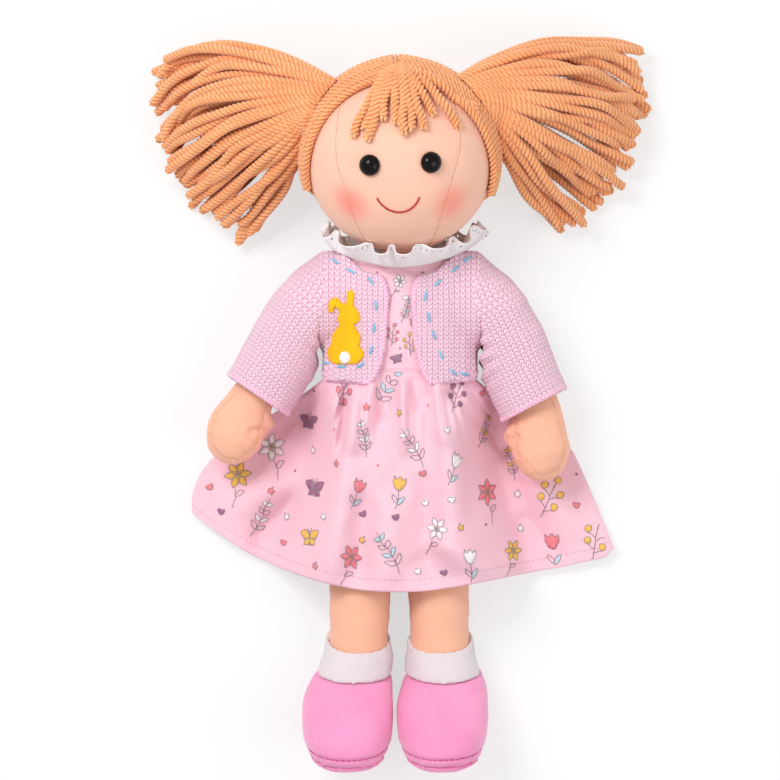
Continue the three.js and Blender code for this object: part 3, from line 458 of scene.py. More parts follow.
def napped(name, colour, deep, grain, relief, sheen=0.5, glow=0.0, ply_shade=None):
    """Fibres with no weave to see, such as felt, fleece, fluff and carded yarn. grain is the size of
    a tuft, glow the share of the light that spreads inside loose fibres before it comes out again,
    and the last colour is painted shade between the plies of a yarn, which marks them with the attribute
    ply."""
    material, add = blank(name)
    where = add("TexCoord").outputs["Object"]
    fibres = add("TexNoise", {"Vector": where, "Scale": 1000 / grain, "Detail": 8.0, "Roughness": 0.65})
    clouds = add("TexNoise", {"Vector": where, "Scale": 45.0, "Detail": 3.0})
    both = add("Mix", {0: 0.4, 2: fibres, 3: clouds})
    ramp = add("MapRange", {"Value": both, "From Min": 0.35, "From Max": 0.6})
    tone = add("MixRGB", {"Fac": ramp, "Color1": srgb(deep), "Color2": srgb(colour)})
    # Painted shade: the darker colour goes between the plies, where the attribute ply is low
    if ply_shade:
        ply = add("Attribute", attribute_name="ply").outputs["Fac"]
        open_ply = add("MapRange", {"Value": ply, "From Min": 0.1, "From Max": 0.8})
        tone = add("MixRGB", {"Fac": open_ply, "Color1": srgb(ply_shade), "Color2": tone})
    bump = add("Bump", {"Height": fibres, "Strength": 0.6, "Distance": relief * MM})
    return shaded(material, {"Base Color": tone, "Normal": bump, "Roughness": 0.95,
                             "Sheen Weight": sheen, "Subsurface Weight": glow,
                             "Subsurface Radius": (0.003, 0.0015, 0.001)})


def thread(name, colour, deep):
    """Spun thread: a faint grain and a dull face."""
    return napped(name, colour, deep, 0.3, 0.05, sheen=0.2)


def eyelet_voile(name, colour):
    """Sheer cotton voile with a row of small worked eyelets along its free edge. The UV map is in
    millimetres along and across the ruffle."""
    spacing, row = 4.2, 2.5
    material, add = blank(name)
    uv = add("SeparateXYZ", {0: add("TexCoord").outputs["UV"]})
    repeat = add("Math", {0: uv.outputs[0], 1: spacing}, operation="DIVIDE")
    part = add("Math", {0: repeat}, operation="FRACT")
    along = add("Math", {0: part, 1: 0.5}, operation="SUBTRACT")
    up = add("Math", {0: uv.outputs[1], 1: spacing}, operation="DIVIDE")
    across = add("Math", {0: up, 1: row}, operation="SUBTRACT")
    away = add("CombineXYZ", {0: along, 1: across})
    reach = add("VectorMath", {0: away}, operation="LENGTH").outputs["Value"]
    hole = add("Math", {0: reach, 1: 0.13}, operation="LESS_THAN")
    worked = add("Math", {0: reach, 1: 0.27}, operation="LESS_THAN")
    thick = add("MapRange", {"Value": worked, "To Min": 0.92})
    solid = add("Math", {0: thick, 1: hole}, operation="SUBTRACT")
    bump = add("Bump", {"Height": solid, "Strength": 0.5, "Distance": 0.4 * MM})
    return shaded(material, {"Base Color": srgb(colour), "Alpha": solid, "Normal": bump,
                             "Roughness": 0.7, "Sheen Weight": 0.3, "Subsurface Weight": 0.4,
                             "Subsurface Radius": (0.002, 0.002, 0.002)})


def moulded_plastic(name, colour, roughness, shine):
    """Injection-moulded plastic: even colour and a clear reflection."""
    material, add = blank(name)
    where = add("TexCoord").outputs["Object"]
    haze = add("TexNoise", {"Vector": where, "Scale": 400.0, "Detail": 2.0})
    rough = add("MapRange", {"Value": haze, "To Min": roughness, "To Max": roughness * 1.4})
    return shaded(material, {"Base Color": srgb(colour), "Roughness": rough,
                             "Specular IOR Level": shine})


def printing_ink(name, colour):
    """Pigment printed on cotton: flat colour that keeps the cloth's dull face, a little worn."""
    material, add = blank(name)
    where = add("TexCoord").outputs["Object"]
    worn = add("TexNoise", {"Vector": where, "Scale": 500.0, "Detail": 3.0})
    base = srgb(colour)
    paler = (*(0.75 * c + 0.2 for c in base[:3]), 1)
    tone = add("MixRGB", {"Fac": worn, "Color1": base, "Color2": paler})
    return shaded(material, {"Base Color": tone, "Roughness": 0.85})


# Skin: fine cotton broadcloth. Threads of 0.3 mm are drawn at 0.7 mm so that they show.
SKIN, BLUSH = "#fac4ab", "#ff6c66"
skin = woven_cotton("cotton_broadcloth_skin", "#f9ba9c", 0.7)
# Printed dress cotton: lawn with a crisp, slightly glossy face.
lawn = woven_cotton("cotton_lawn_pink", "#f9c8d6", 0.6, dark=0.95, sheen=0.08, roughness=0.9)
# Pink acrylic knit: fuzzy loops that catch the light at their rims, with painted shade in the gaps
# between them.
knit = stocking_stitch("acrylic_stocking_stitch_pink", "#ffd9ea", "#ea82b8", 0.8)
# The knit's edges are finished with a crocheted chain of the same yarn, with painted shade between its
# plies.
knit_edge = napped("acrylic_knit_edge_pink", "#ffd2e7", "#fbbfdd", 0.9, 0.3, sheen=0.4, ply_shade="#f0abce")
# White cotton jersey of the socks: very fine columns of loops, with painted shade in the gaps between
# them.
jersey = stocking_stitch("cotton_jersey_white", "#fbf0f3", "#e6d6dd", 0.25, sheen=0.2)
# Polyester fleece of the shoes: smooth short nap, almost without texture.
fleece = napped("polyester_fleece_pink", "#f79dc8", "#ef8bbc", 0.5, 0.08)
# Wool felt: matt and slightly uneven.
felt = napped("wool_felt_yellow", "#ffc200", "#f7b200", 0.6, 0.12, sheen=0.05)
# White pompom: loose fluff.
fluff = napped("pompom_white", "#ffffff", "#eef0f0", 0.8, 0.5, sheen=0.8)
# Loosely plied acrylic yarn: pale fibres outside, a warm painted shadow between the plies.
yarn_wool = napped("plied_yarn_tan", "#ffb982", "#f4a066", 0.35, 0.2, sheen=0.45, glow=0.2,
                   ply_shade="#db8450")
# The same yarn where its cut end has opened.
yarn_tip = napped("frayed_yarn_tan", "#ffc68e", "#f4ab70", 0.35, 0.3, sheen=0.6, glow=0.3)
# Cotton voile of the ruffle: thin enough to let light through, with worked eyelets.
voile = eyelet_voile("cotton_eyelet_voile_white", "#fffbfc")
# Plastic of the eyes, polished in the mould, and of their locking washers, left as moulded.
eye_black = moulded_plastic("polished_plastic_black", "#0c0808", 0.07, shine=0.2)
washer_white = moulded_plastic("moulded_plastic_natural", "#e8e4dc", 0.4, shine=0.5)
# Stranded cotton of the mouth and the running stitches, and spun polyester of the seams.
red_thread = thread("embroidery_thread_red", "#c4351f", "#a3281b")
blue_thread = thread("embroidery_thread_blue", "#9bd0ec", "#7dbade")
rose_thread = thread("sewing_thread_rose", "#e0569f", "#c8418a")
pink_thread = thread("sewing_thread_pink", "#f3b3c8", "#e9a0ba")
skin_thread = thread("sewing_thread_skin", "#e6ae8f", "#d89a7a")
gold_thread = thread("sewing_thread_gold", "#ffce2a", "#eeae00")


# Camera, floor and light

SENSOR = 36
# The camera stands far away, so that the picture has hardly any perspective
CAMERA_HEIGHT, FOCUS_HEIGHT = 12000, 45
camera_data = bpy.data.cameras.new("camera")
camera_data.sensor_width = SENSOR
camera_data.lens = SENSOR * CAMERA_HEIGHT / (PICTURE * PIXEL)
camera_data.clip_end = 30
camera = bpy.data.objects.new("camera", camera_data)
camera.location = Vector((*pixel(PICTURE / 2, PICTURE / 2), CAMERA_HEIGHT + FOCUS_HEIGHT)) * MM
scene.collection.objects.link(camera)
scene.camera = camera

# Matt paper. What the camera sees of it glows a little, so that it's nearly white.
paper, add = blank("backdrop_paper_white")
shaded(paper, {"Base Color": srgb("#f4f4f4"), "Roughness": 1.0})
matt = paper.node_tree.nodes["Principled BSDF"]
rays = add("LightPath").outputs
mirrored = add("Math", {0: rays["Is Glossy Ray"], 1: rays["Is Transmission Ray"]},
               operation="MAXIMUM")
seen = add("Math", {0: rays["Is Camera Ray"], 1: mirrored}, operation="MAXIMUM")
glow = add("Emission", {"Color": srgb("#ffffff"), "Strength": 1.0})
half_glow = add("MixShader", {0: 0.62, 1: matt, 2: glow})
seen_floor = add("MixShader", {0: seen, 1: matt, 2: half_glow})
set_inputs(paper, paper.node_tree.nodes["Material Output"], {"Surface": seen_floor})
floor_mesh = bmesh.new()
bmesh.ops.create_grid(floor_mesh, x_segments=1, y_segments=1, size=3000)
piece("floor", floor_mesh, paper, None)

world = bpy.data.worlds.new("studio")
world.use_nodes = True
sky = world.node_tree.nodes["Background"].inputs
sky["Color"].default_value = srgb("#ffffff")
sky["Strength"].default_value = 0.58
scene.world = world
# Each lamp's name, place, size and power
for name, place, size, power in (
    ("key_softbox", (-700, 700, 1300), 700, 14.0),
    ("fill_softbox", (900, -300, 1100), 900, 5.0),
    ("eye_light", (-300, 520, 1100), 110, 0.9),
):
    lamp_data = bpy.data.lights.new(name, "AREA")
    lamp_data.size = size * MM
    lamp_data.energy = power
    lamp = bpy.data.objects.new(name, lamp_data)
    lamp.location = Vector(place) * MM
    lamp.rotation_euler = (-Vector(place)).to_track_quat("-Z", "Y").to_euler()
    scene.collection.objects.link(lamp)
scene.view_settings.view_transform = "Standard"


# The head

TILT = Matrix.Rotation(HEAD_TILT, 3, "Z")


def head_place(local):
    """A point given about the head's centre, moved to its place on the doll."""
    return TILT @ Vector(local) + HEAD_CENTRE


def on_ball(x, y, radius=HEAD_RADIUS):
    """The point of the face straight below a place."""
    z = sqrt(max(radius ** 2 - (x - HEAD_CENTRE.x) ** 2 - (y - HEAD_CENTRE.y) ** 2, 1))
    return Vector((x, y, HEAD_CENTRE.z + z))


def curve_through(points, count):
    """A smooth path through points, with count steps from each to the next."""
    path = []
    ends = [points[0] * 2 - points[1], *points, points[-1] * 2 - points[-2]]
    for a, b, c, d in zip(ends, ends[1:], ends[2:], ends[3:]):
        for k in range(count):
            t = k / count
            path.append(0.5 * ((2 * b) + (c - a) * t + (2 * a - 5 * b + 4 * c - d) * t * t
                               + (3 * b - a - 3 * c + d) * t ** 3))
    return path + [points[-1]]


# The seams down both sides of the face, in pixels
face_seams = [
    [(344, 92), (338, 118), (336, 150), (339, 170), (346, 192), (356, 222), (368, 246)],
    [(449, 92), (458, 118), (460, 146), (453, 176), (444, 205), (436, 232), (428, 247)],
]
seam_paths = [curve_through([on_ball(*pixel(*p)) for p in seam], 10) for seam in face_seams]
blush_spots = [(on_ball(*pixel(350, 204)), 17, BLUSH, 0.6),
               (on_ball(*pixel(451, 203)), 17, BLUSH, 0.52)]
face_skin = woven_cotton("cotton_broadcloth_face", SKIN, 0.7, spots=blush_spots)


def make_head():
    """The stuffed ball of the head, with the two curved seams of its face drawn in."""
    bm = bmesh.new()
    bmesh.ops.create_icosphere(bm, subdivisions=6, radius=HEAD_RADIUS)
    bmesh.ops.translate(bm, vec=HEAD_CENTRE, verts=bm.verts)
    head = piece("head_stuffed", bm, face_skin, "head")
    seam_points = [p for path in seam_paths for p in path]

    def relief(place, normal):
        near = min((place - p).length for p in seam_points) if place.z > HEAD_CENTRE.z else 9
        pucker = noise.noise(place * 0.35) * 0.35 * blob(near, 5)
        lumps = noise.noise(place * 0.04) * 0.5
        return -0.3 * blob(near, 0.9) + pucker + lumps

    push(head, relief)
    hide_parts("head")
    return surface_of(head)


def out_of_head(place, lift=0.25):
    return (place - HEAD_CENTRE).normalized() * lift


# The mouth, in pixels, and its stitches: points in each, and from the start of one to the next
smile = [(377, 198.5), (380, 203.5), (386, 208.8), (392, 211.8), (399, 213), (406, 211.8),
         (412, 208.5), (417, 203), (420.5, 195.5)]
MOUTH_STITCH, MOUTH_PERIOD = 12, 9


def make_face():
    cloth = make_head()
    seams = []
    for path in seam_paths:
        line = [dropped(cloth, p.x, p.y, lift=-0.05)[0] for p in path]
        seams += running([p for p in line if p], 1.5, 0.6, out_of_head)
    sewn("face_seam_thread", seams, 0.18, skin_thread, "head", turn=1.5)
    path = curve_through([on_ball(*pixel(*p), radius=HEAD_RADIUS + 0.15) for p in smile], 8)
    mouth = []
    fine = resampled(path, 0.25)
    for k in range(0, len(fine) - MOUTH_STITCH, MOUTH_PERIOD):
        run = [p.copy() for p in fine[k:k + MOUTH_STITCH + 1]]
        for i, p in enumerate(run):
            t = i / MOUTH_STITCH
            p += Vector((0, 0.25 * (t - 0.5), 0.3 * sin(pi * t)))
        mouth.append(run)
    spun("mouth_thread", mouth, 0.56, red_thread, "head", plies=2, turn=2.4, step=0.4, points=8)


def make_eyes():
    """The eyes and washers keep their solids, and the eyes are rounded off."""
    for side in SIDES:
        for node, material in ((f"eye_{side}", eye_black), (f"eye_washer_{side}", washer_white)):
            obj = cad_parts[node]
            obj.data.materials.clear()
            obj.data.materials.append(material)
        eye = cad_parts[f"eye_{side}"]
        weld = eye.modifiers.new("Weld", "WELD")
        weld.merge_threshold = 0.00002
        rounding = eye.modifiers.new("Subdivision", "SUBSURF")
        rounding.levels = rounding.render_levels = 2


# Hair

TIE_ANGLE = radians(32.5)
ROOT_RADIUS, ROOT_SINK = 6.8, 3
BUNCH_LENGTH, BUNCH_DEPTH = 82, 15
FAN_TOP_ANGLE = radians(61)
BUNCH_LOW_ANGLE = radians(-64)
# The angle of the highest strands and the length of each bunch beside its solid's, on either side
BUNCH_TOP_ANGLE = {-1: radians(19), 1: radians(16)}
BUNCH_REACH = {-1: 0.92, 1: 0.96}
# How far out and up each bunch swells near the tie
BUNCH_SWELL = {-1: Vector((-15, 6, 0)), 1: Vector((12, 0, 0))}
# Some strands of a bunch end beside a neighbour's place: how many do, and how far they cross
CROSSING_SHARE, CROSSING = 0.24, 0.13
# The layers of a bunch from its top to its underside: height in shares, and number of strands
bunch_layers = [(0.98, 17), (0.6, 13), (0.15, 12), (-0.3, 11), (-0.7, 9), (-1, 8)]
# From the tie to the ends: place along the strands, and half the bunch's depth
fan_shares = [(0, 0.42), (0.1, 0.75), (0.24, 1), (0.42, 1.08), (0.62, 1), (0.82, 0.86), (1, 0.66)]


def thickness_at(along):
    for (a, low), (b, high) in zip(fan_shares, fan_shares[1:]):
        if along <= b:
            return mix(low, high, (along - a) / (b - a))
    return fan_shares[-1][1]


def toward(sign, angle):
    """The direction at an angle above the side that sign names, flat on the table."""
    return Vector((sign * cos(angle), sin(angle), 0))


def bunch_path(sign, across, deep, long, cross):
    """One strand of a bunch, from the tie to its cut end, about the head's centre. cross moves its
    end towards a neighbour's."""
    root = toward(sign, TIE_ANGLE) * (HAIR_RADIUS + ROOT_RADIUS - ROOT_SINK)
    rise = (across + 1) / 2
    leave = mix(-pi / 2, FAN_TOP_ANGLE, rise)
    fall = mix(BUNCH_LOW_ANGLE, BUNCH_TOP_ANGLE[sign], min(max(rise + cross, 0), 1))
    start = toward(sign, radians(mix(20, 53, rise))) * (HAIR_RADIUS - 1) - root
    bend = toward(sign, leave) * mix(0.42, 0.62, rise) * BUNCH_LENGTH + BUNCH_SWELL[sign] * rise
    end = toward(sign, fall) * long * BUNCH_LENGTH
    round_off = sqrt(max(1 - abs(across) ** 3, 0.05))
    path = []
    for t in shares(32):
        point = root + start * (1 - t) ** 2 + bend * 2 * t * (1 - t) + end * t * t
        point.z = -(HEAD_CENTRE.z - BUNCH_DEPTH * 0.66 - YARN * 0.5) * t ** 1.4
        point.z += deep * (BUNCH_DEPTH * thickness_at(t) - YARN * 0.4) * round_off
        point.z += 9 * (1 - smooth(t, 0, 0.16)) * max(deep, 0)
        if point.length < HAIR_RADIUS - 1:
            point *= (HAIR_RADIUS - 1) / point.length
        path.append(point)
    return path


def wobble(path, amount, seed):
    """Loose yarn doesn't lie quite straight."""
    bent = []
    for k, p in enumerate(path):
        share = k / (len(path) - 1)
        shift = Vector([noise.noise(Vector((seed, share * 2.2, row))) for row in (0, 9, 18)])
        bent.append(p + shift * amount * smooth(share, 0.1, 0.8))
    return bent


def opened(path, spread, length):
    """The plies of a cut end, spread a little."""
    end, before = path[-1], path[-5]
    along = (end - before).normalized()
    side = along.orthogonal().normalized()
    first = dice.uniform(0, 6)
    plies = []
    for k in range(3):
        around = Matrix.Rotation(first + 2.1 * k, 3, along) @ side
        plies.append([end - along * 2.2 + around * 0.7, end + around * 1.0,
                      end + along * length * dice.uniform(0.6, 1) + around * spread])
    return plies


def bunch_strands(sign):
    """The strands of a bunch and the opened plies at their ends."""
    strands, ends = [], []
    for layer, (deep, count) in enumerate(bunch_layers):
        for k in range(count):
            across = ((k + 0.5 + 0.3 * (layer % 2)) / (count + 0.3)) * 2 - 1
            across = min(max(across + dice.uniform(-0.03, 0.03), -1), 1)
            cross = dice.uniform(-0.035, 0.035)
            cross += CROSSING * dice.choice((-1, 1)) if dice.random() < CROSSING_SHARE else 0
            path = bunch_path(sign, across, deep, BUNCH_REACH[sign] + dice.uniform(-0.07, 0.06), cross)
            path = [head_place(p) for p in wobble(path, 5.2, k * 3.1 + layer * 17 + sign)]
            for place in path:
                place.z = max(place.z, YARN * 0.75)
            strands.append(path)
            ends += opened(path, 1.0, 1.7)
    return strands, ends


def make_bunches():
    for side, sign in SIDES.items():
        strands, ends = bunch_strands(sign)
        bunch = spun(f"pigtail_{side}_yarn", strands, YARN * 0.66, yarn_wool, None, step=1.3,
                     points=12, depth=0.22, taper=lambda t: mix(0.7, 1, smooth(t, 0, 0.2)))
        spun(f"pigtail_{side}_ends", ends, 1.35, yarn_tip, f"pigtail_{side}", plies=2, turn=8, step=0.8,
             points=6, taper=lambda t: 1 - 0.3 * t)
        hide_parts(f"pigtail_{side}")
        out = toward(sign, TIE_ANGLE)
        head_place(out * (HAIR_RADIUS - 4)) * MM
        head_place(out * (HAIR_RADIUS + 12)) * MM
        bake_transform(bunch)
        at = out * (HAIR_RADIUS + ROOT_RADIUS - ROOT_SINK + 4)
        turns = []
        for k in range(49):
            angle = tau * k / 24
            swing = Vector((-out.y, out.x, 0)) * cos(angle) + Vector((0, 0, sin(angle)))
            turns.append(head_place(at + out * (k / 48 * 2.6 - 1.3) + swing * (ROOT_RADIUS + 1.6)))
        band = spun(f"hair_tie_{side}_yarn", [turns], 1.5, yarn_wool, f"pigtail_{side}")
        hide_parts(f"hair_tie_{side}")


# How far below the head's middle the front strands end, on either side, and the ones at the nape
SIDE_HAIR_END = {-1: -15, 1: -22}
NAPE_END = -36
HAIR_STRANDS = 34
# Half the width and the height of the opening in the backing for the face
HAIRLINE_WIDTH, HAIRLINE_HEIGHT = 48.6, 42


def hair_strand(sign, share, raised):
    """One strand on the head, from the parting down to the cheek or the nape."""
    rise = radians(mix(36, -112, share))
    start = Vector((0, cos(rise), sin(rise)))
    turn = radians(mix(80, 176, share))
    level = mix(SIDE_HAIR_END[sign], NAPE_END, smooth(share, 0.22, 0.8)) / HAIR_RADIUS
    ring = sqrt(1 - level ** 2)
    end = Vector((sin(turn) * ring, level, cos(turn) * ring))
    front = 1 - smooth(share, 0, 0.35)
    arch = Vector((mix(0.29, 0.09, front), mix(0.5, 0.57, front), mix(0.02, 0.19, front)))
    bend = (start + end) * 0.5 + arch * (1 - share ** 3)
    start.x = 0.024
    path = []
    for t in shares(40):
        point = (start * (1 - t) ** 2 + bend * 2 * t * (1 - t) + end * t * t).normalized()
        hump = 0.7 * blob(t, 0.1) * (1 if share < 0.5 else 0.3)
        point *= HAIR_RADIUS - YARN * 0.42 + hump + raised
        point.x *= sign
        path.append(head_place(point))
    return path


def make_hair():
    for side, sign in SIDES.items():
        strands = [hair_strand(sign, k / (HAIR_STRANDS - 1), 0.35 * (k % 2) + dice.uniform(0, 0.25))
                   for k in range(HAIR_STRANDS)]
        hair = spun(f"hair_{side}_yarn", strands, YARN * 0.53, yarn_wool, "head", step=1.1, depth=0.34,
                    points=12)
        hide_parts(f"hair_{side}")
        under = bmesh.new()
        bmesh.ops.create_uvsphere(under, u_segments=72, v_segments=48, radius=HEAD_RADIUS + 0.6)
        bisected(under, (0.1 * sign, 0, 0), (-sign, 0, 0), clear_outer=True)
        bisected(under, (0, SIDE_HAIR_END[sign] + 5, 0), (0, -1, 0.5), clear_outer=True)
        face = [v for v in under.verts if v.co.z > 0 and
                (v.co.x / HAIRLINE_WIDTH) ** 2 + (max(v.co.y, 0) / HAIRLINE_HEIGHT) ** 2 < 1]
        bmesh.ops.delete(under, geom=face, context="VERTS")
        for vert in under.verts:
            vert.co = head_place(vert.co)
        piece(f"hair_{side}_backing", under, yarn_wool, "head")
    parting = []
    for t in shares(59):
        rise = radians(mix(34, -110, t))
        parting.append(head_place(Vector((0, cos(rise), sin(rise))) * (HAIR_RADIUS - 0.9)))
    spun("parting_yarn", [parting], 1.9, yarn_wool, "head", depth=0.3, points=12)
    seam = running(parting, 3.2, 1.2, lambda place: out_of_head(place, 2.3))
    sewn("parting_stitches", seam, 0.5, yarn_tip, "head", turn=2.5, step=0.6)


# Where each strand of the fringe ends and where they all begin, in pixels
fringe_tips = [(353, 135), (364, 127), (371, 137), (382, 119), (394, 122), (405, 134), (411, 131),
               (424, 129), (433, 114), (459, 128), (473, 109)]
FRINGE_MIDDLE = 405


def make_fringe():
    """Short ends over the forehead, opened at the tips."""
    over_hair, on_forehead = HAIR_RADIUS + YARN * 0.35, HEAD_RADIUS + YARN * 0.6
    strands, ends = [], []
    for k, (px, py) in enumerate(fringe_tips):
        tip = on_ball(*pixel(px, py), on_forehead) - HEAD_CENTRE
        aside = px - FRINGE_MIDDLE
        knot = Vector((aside * 0.1, 48.3 - abs(aside) * 0.03, 0))
        path = []
        for t in shares(24):
            spread = Vector((mix(knot.x, tip.x, t ** 0.8), mix(knot.y, tip.y, t), 0))
            reach = mix(over_hair, on_forehead, 1 - smooth(spread.y, 33, 44))
            reach += 1.8 * sin(pi * min(t * 1.15, 1))
            spread.z = sqrt(max(reach ** 2 - spread.x ** 2 - spread.y ** 2, 1))
            path.append(spread + HEAD_CENTRE)
        path = wobble(path, 3.0, 40 + k * 2.3)
        strands.append(path)
        ends += opened(path, 1.4, 2.4)
    fringe = spun("fringe_yarn", strands, YARN * 0.67, yarn_wool, "head", depth=0.34, points=12)
    spun("fringe_ends", ends, 1.4, yarn_tip, "head", plies=2, turn=8, step=0.6, points=6,
         taper=lambda t: 1 - 0.35 * t)
    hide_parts("fringe")


# Stuffed cotton body and limbs

def stuffed(node, body, voxel, cap, relief, material=skin):
    """A sewn and stuffed piece that fills its solid: remeshed, inflated and puckered."""
    obj = piece(f"{node}_stuffed", cad_copy(node), material, None)
    remesh(obj, voxel, smoothing=2)
    puff(obj, shrink=cap * 0.55, cap=cap)
    subdivide(obj, 1)
    push(obj, relief)
    stand_for(obj, node, body)
    return obj


# The hands' side seam lies above their middle, and the right hand further out than its solid
HAND_SEAM_RISE = 7
RIGHT_HAND_OUT = 3.8


def limb_relief(place, normal):
    """Soft creases across the cloth and puckers beside the side seam."""
    seam = place.z - BODY_LEVEL - HAND_SEAM_RISE
    pucker = 0.3 * sin((place.x + place.y) * 1.3 + 2 * noise.noise(place * 0.2)) * blob(seam, 4)
    return -0.35 * blob(seam, 0.9) + pucker + noise.noise(place * 0.09) * 0.5


# Where the thumb is caught down with a few stitches, and the way the crease runs, in pixels
thumb_creases = {"right": [(283, 438), (269, 430), (259, 431)],
                 "left": [(500, 436), (508, 440), (517, 437)]}


def leg_relief(place, normal):
    """Soft folds across the leg."""
    return noise.noise(Vector((place.x * 0.05, place.y * 0.16, place.z * 0.05))) * 0.6


def make_limbs():
    """The torso, neck, arms and legs. Gives the surface that the skirt lies on."""
    made = [stuffed("torso", "torso", 4, 1.2, lambda place, normal: noise.noise(place * 0.08) * 0.3)]
    stuffed("neck", "neck", 2, 0.8, lambda place, normal: noise.noise(place * 0.1) * 0.3)
    for side in SIDES:
        line = curve_through([Vector((*pixel(*p), 0)) for p in thumb_creases[side]], 6)

        def hand_relief(place, normal):
            near = 99
            if normal.z > 0.2:
                near = min((Vector((place.x, place.y, 0)) - p).length for p in line)
            return limb_relief(place, normal) - 1.5 * blob(near, 1.5) + 0.5 * blob(near - 3.4, 1.6)

        hand = stuffed(f"arm_{side}", f"arm_{side}", 2.6, 1.2, hand_relief)
        if side == "right":
            for vert in hand.data.vertices:
                vert.co.x -= RIGHT_HAND_OUT * smooth(-vert.co.y / MM, 4, 24) * MM
        loop = loop_at(hand, (0, 0, BODY_LEVEL + HAND_SEAM_RISE), (0, 0, 1))
        start = next(k for k, p in enumerate(loop) if p.y > 0)
        below = [p for p in loop[start:] + loop[:start] if p.y < -12]
        seam = running(below, 1.4, 0.8, lambda place: Vector((0, 0, 0.2)))
        sewn(f"hand_seam_{side}", seam, 0.22, skin_thread, f"arm_{side}", turn=1.5)
        made.append(stuffed(f"leg_{side}", f"leg_{side}", 3, 1.2, leg_relief))
    return surface_of(*made)


# Socks and shoes

FOOT_SLOPE = radians(18)
FOOT_DOWN = Vector((0, -cos(FOOT_SLOPE), -sin(FOOT_SLOPE)))
ANKLE, SHOE_HEIGHT = Vector((0, -160, 21)), 37
SOCK_OUT, SOCK_MIDDLE, SOCK_RADIUS = 22, -150, 19
# The jersey's loops are finer than the cardigan's
JERSEY_WIDTH, JERSEY_HEIGHT = 0.9, 0.8
# The stuffed sole is turned up round the shoe: how far its stitched edge stands above its join
SOLE_EDGE = 4.4


def make_sock(side, sign):
    """A jersey cuff that narrows a little to its rim."""
    sock = piece(f"sock_{side}_jersey", cad_copy(f"sock_{side}"), jersey, None)
    remesh(sock, 1.1, smoothing=3)
    middle = Vector((sign * SOCK_OUT, SOCK_MIDDLE, ANKLE.z))
    push(sock, lambda place, normal: 0.35 + 0.5 * noise.noise(place * 0.12))
    subdivide(sock, 1)
    for vert in sock.data.vertices:
        rim = smooth(vert.co.y / MM, -154, -143)
        inward = middle - vert.co / MM
        vert.co.x += 0.07 * inward.x * rim * MM
        vert.co.z += 0.07 * inward.z * rim * MM
        vert.co.y -= 3.2 * rim * (vert.co.z / MM - ANKLE.z) / SOCK_RADIUS * MM
    give_uv(sock, lambda place, normal: (
        atan2(place.z - middle.z, place.x - middle.x) * SOCK_RADIUS / JERSEY_WIDTH,
        place.y / JERSEY_HEIGHT))
    stand_for(sock, f"sock_{side}", f"leg_{side}")


def make_feet():
    sole_seam = ANKLE + FOOT_DOWN * SHOE_HEIGHT

    def shoe_relief(place, normal):
        """Drawn in at the stitched edge of the sole, full below it."""
        off = (place - sole_seam).dot(FOOT_DOWN)
        pucker = 0.22 * sin(place.x * 2.4 + place.z * 1.9) * blob(off + SOLE_EDGE, 3)
        full = noise.noise(place * 0.06) * 0.5 + pucker + 1.4 * blob(off, 1.9) + 0.5
        return full - 0.9 * blob(off + SOLE_EDGE, 0.9)

    def sole_relief(place, normal):
        """Full where it meets the shoe."""
        off = (place - sole_seam).dot(FOOT_DOWN)
        return noise.noise(place * 0.06) * 0.4 + 0.3 + 0.5 * blob(off, 1.9)

    for side, sign in SIDES.items():
        make_sock(side, sign)
        shoe, sole = [stuffed(f"{part}_{side}", f"leg_{side}", voxel, cap, relief, fleece)
                      for part, voxel, cap, relief in (("shoe", 2.4, 1.6, shoe_relief),
                                                       ("sole", 1.6, 1.4, sole_relief))]
        if side == "left":
            # The left foot's toe turns a little towards the other
            for vert in shoe.data.vertices[:] + sole.data.vertices[:]:
                vert.co.x -= 3 * smooth((vert.co / MM - ANKLE).dot(FOOT_DOWN), 0, 16) * MM
        seam = loop_at(shoe, sole_seam - FOOT_DOWN * SOLE_EDGE, FOOT_DOWN)
        seam.append(seam[0])
        core = sum(seam, Vector()) / len(seam)
        runs = running(seam, 2.3, 0.9, lambda place: (place - core).normalized() * 0.3)
        runs = [run for run in runs if min(p.z for p in run) > 1]
        sewn(f"sole_stitches_{side}", runs, 0.36, rose_thread, f"leg_{side}")


# Dress

def power(value, exponent):
    """A power that keeps the sign."""
    return copysign(abs(value) ** exponent, value)


SKIRT_FRONT, SKIRT_RIGHT, SKIRT_LEFT = 117.5, 134, 147.6
SKIRT_RIGHT_ANGLE, SKIRT_LEFT_ANGLE = radians(56), radians(50.7)
HIP_OUT, LEG_RADIUS = 19, 17.2
WAIST_EASE = 1.3
# The hem's edge at the sides, the lowest place of a fold, and the cloth's height above the legs
SKIRT_EDGE, FOLD_BOTTOM, SKIRT_CLEARANCE = 6.5, 3.4, 1.8
FOLD_DEPTH = 2.2
HEM_SHARE = 0.945
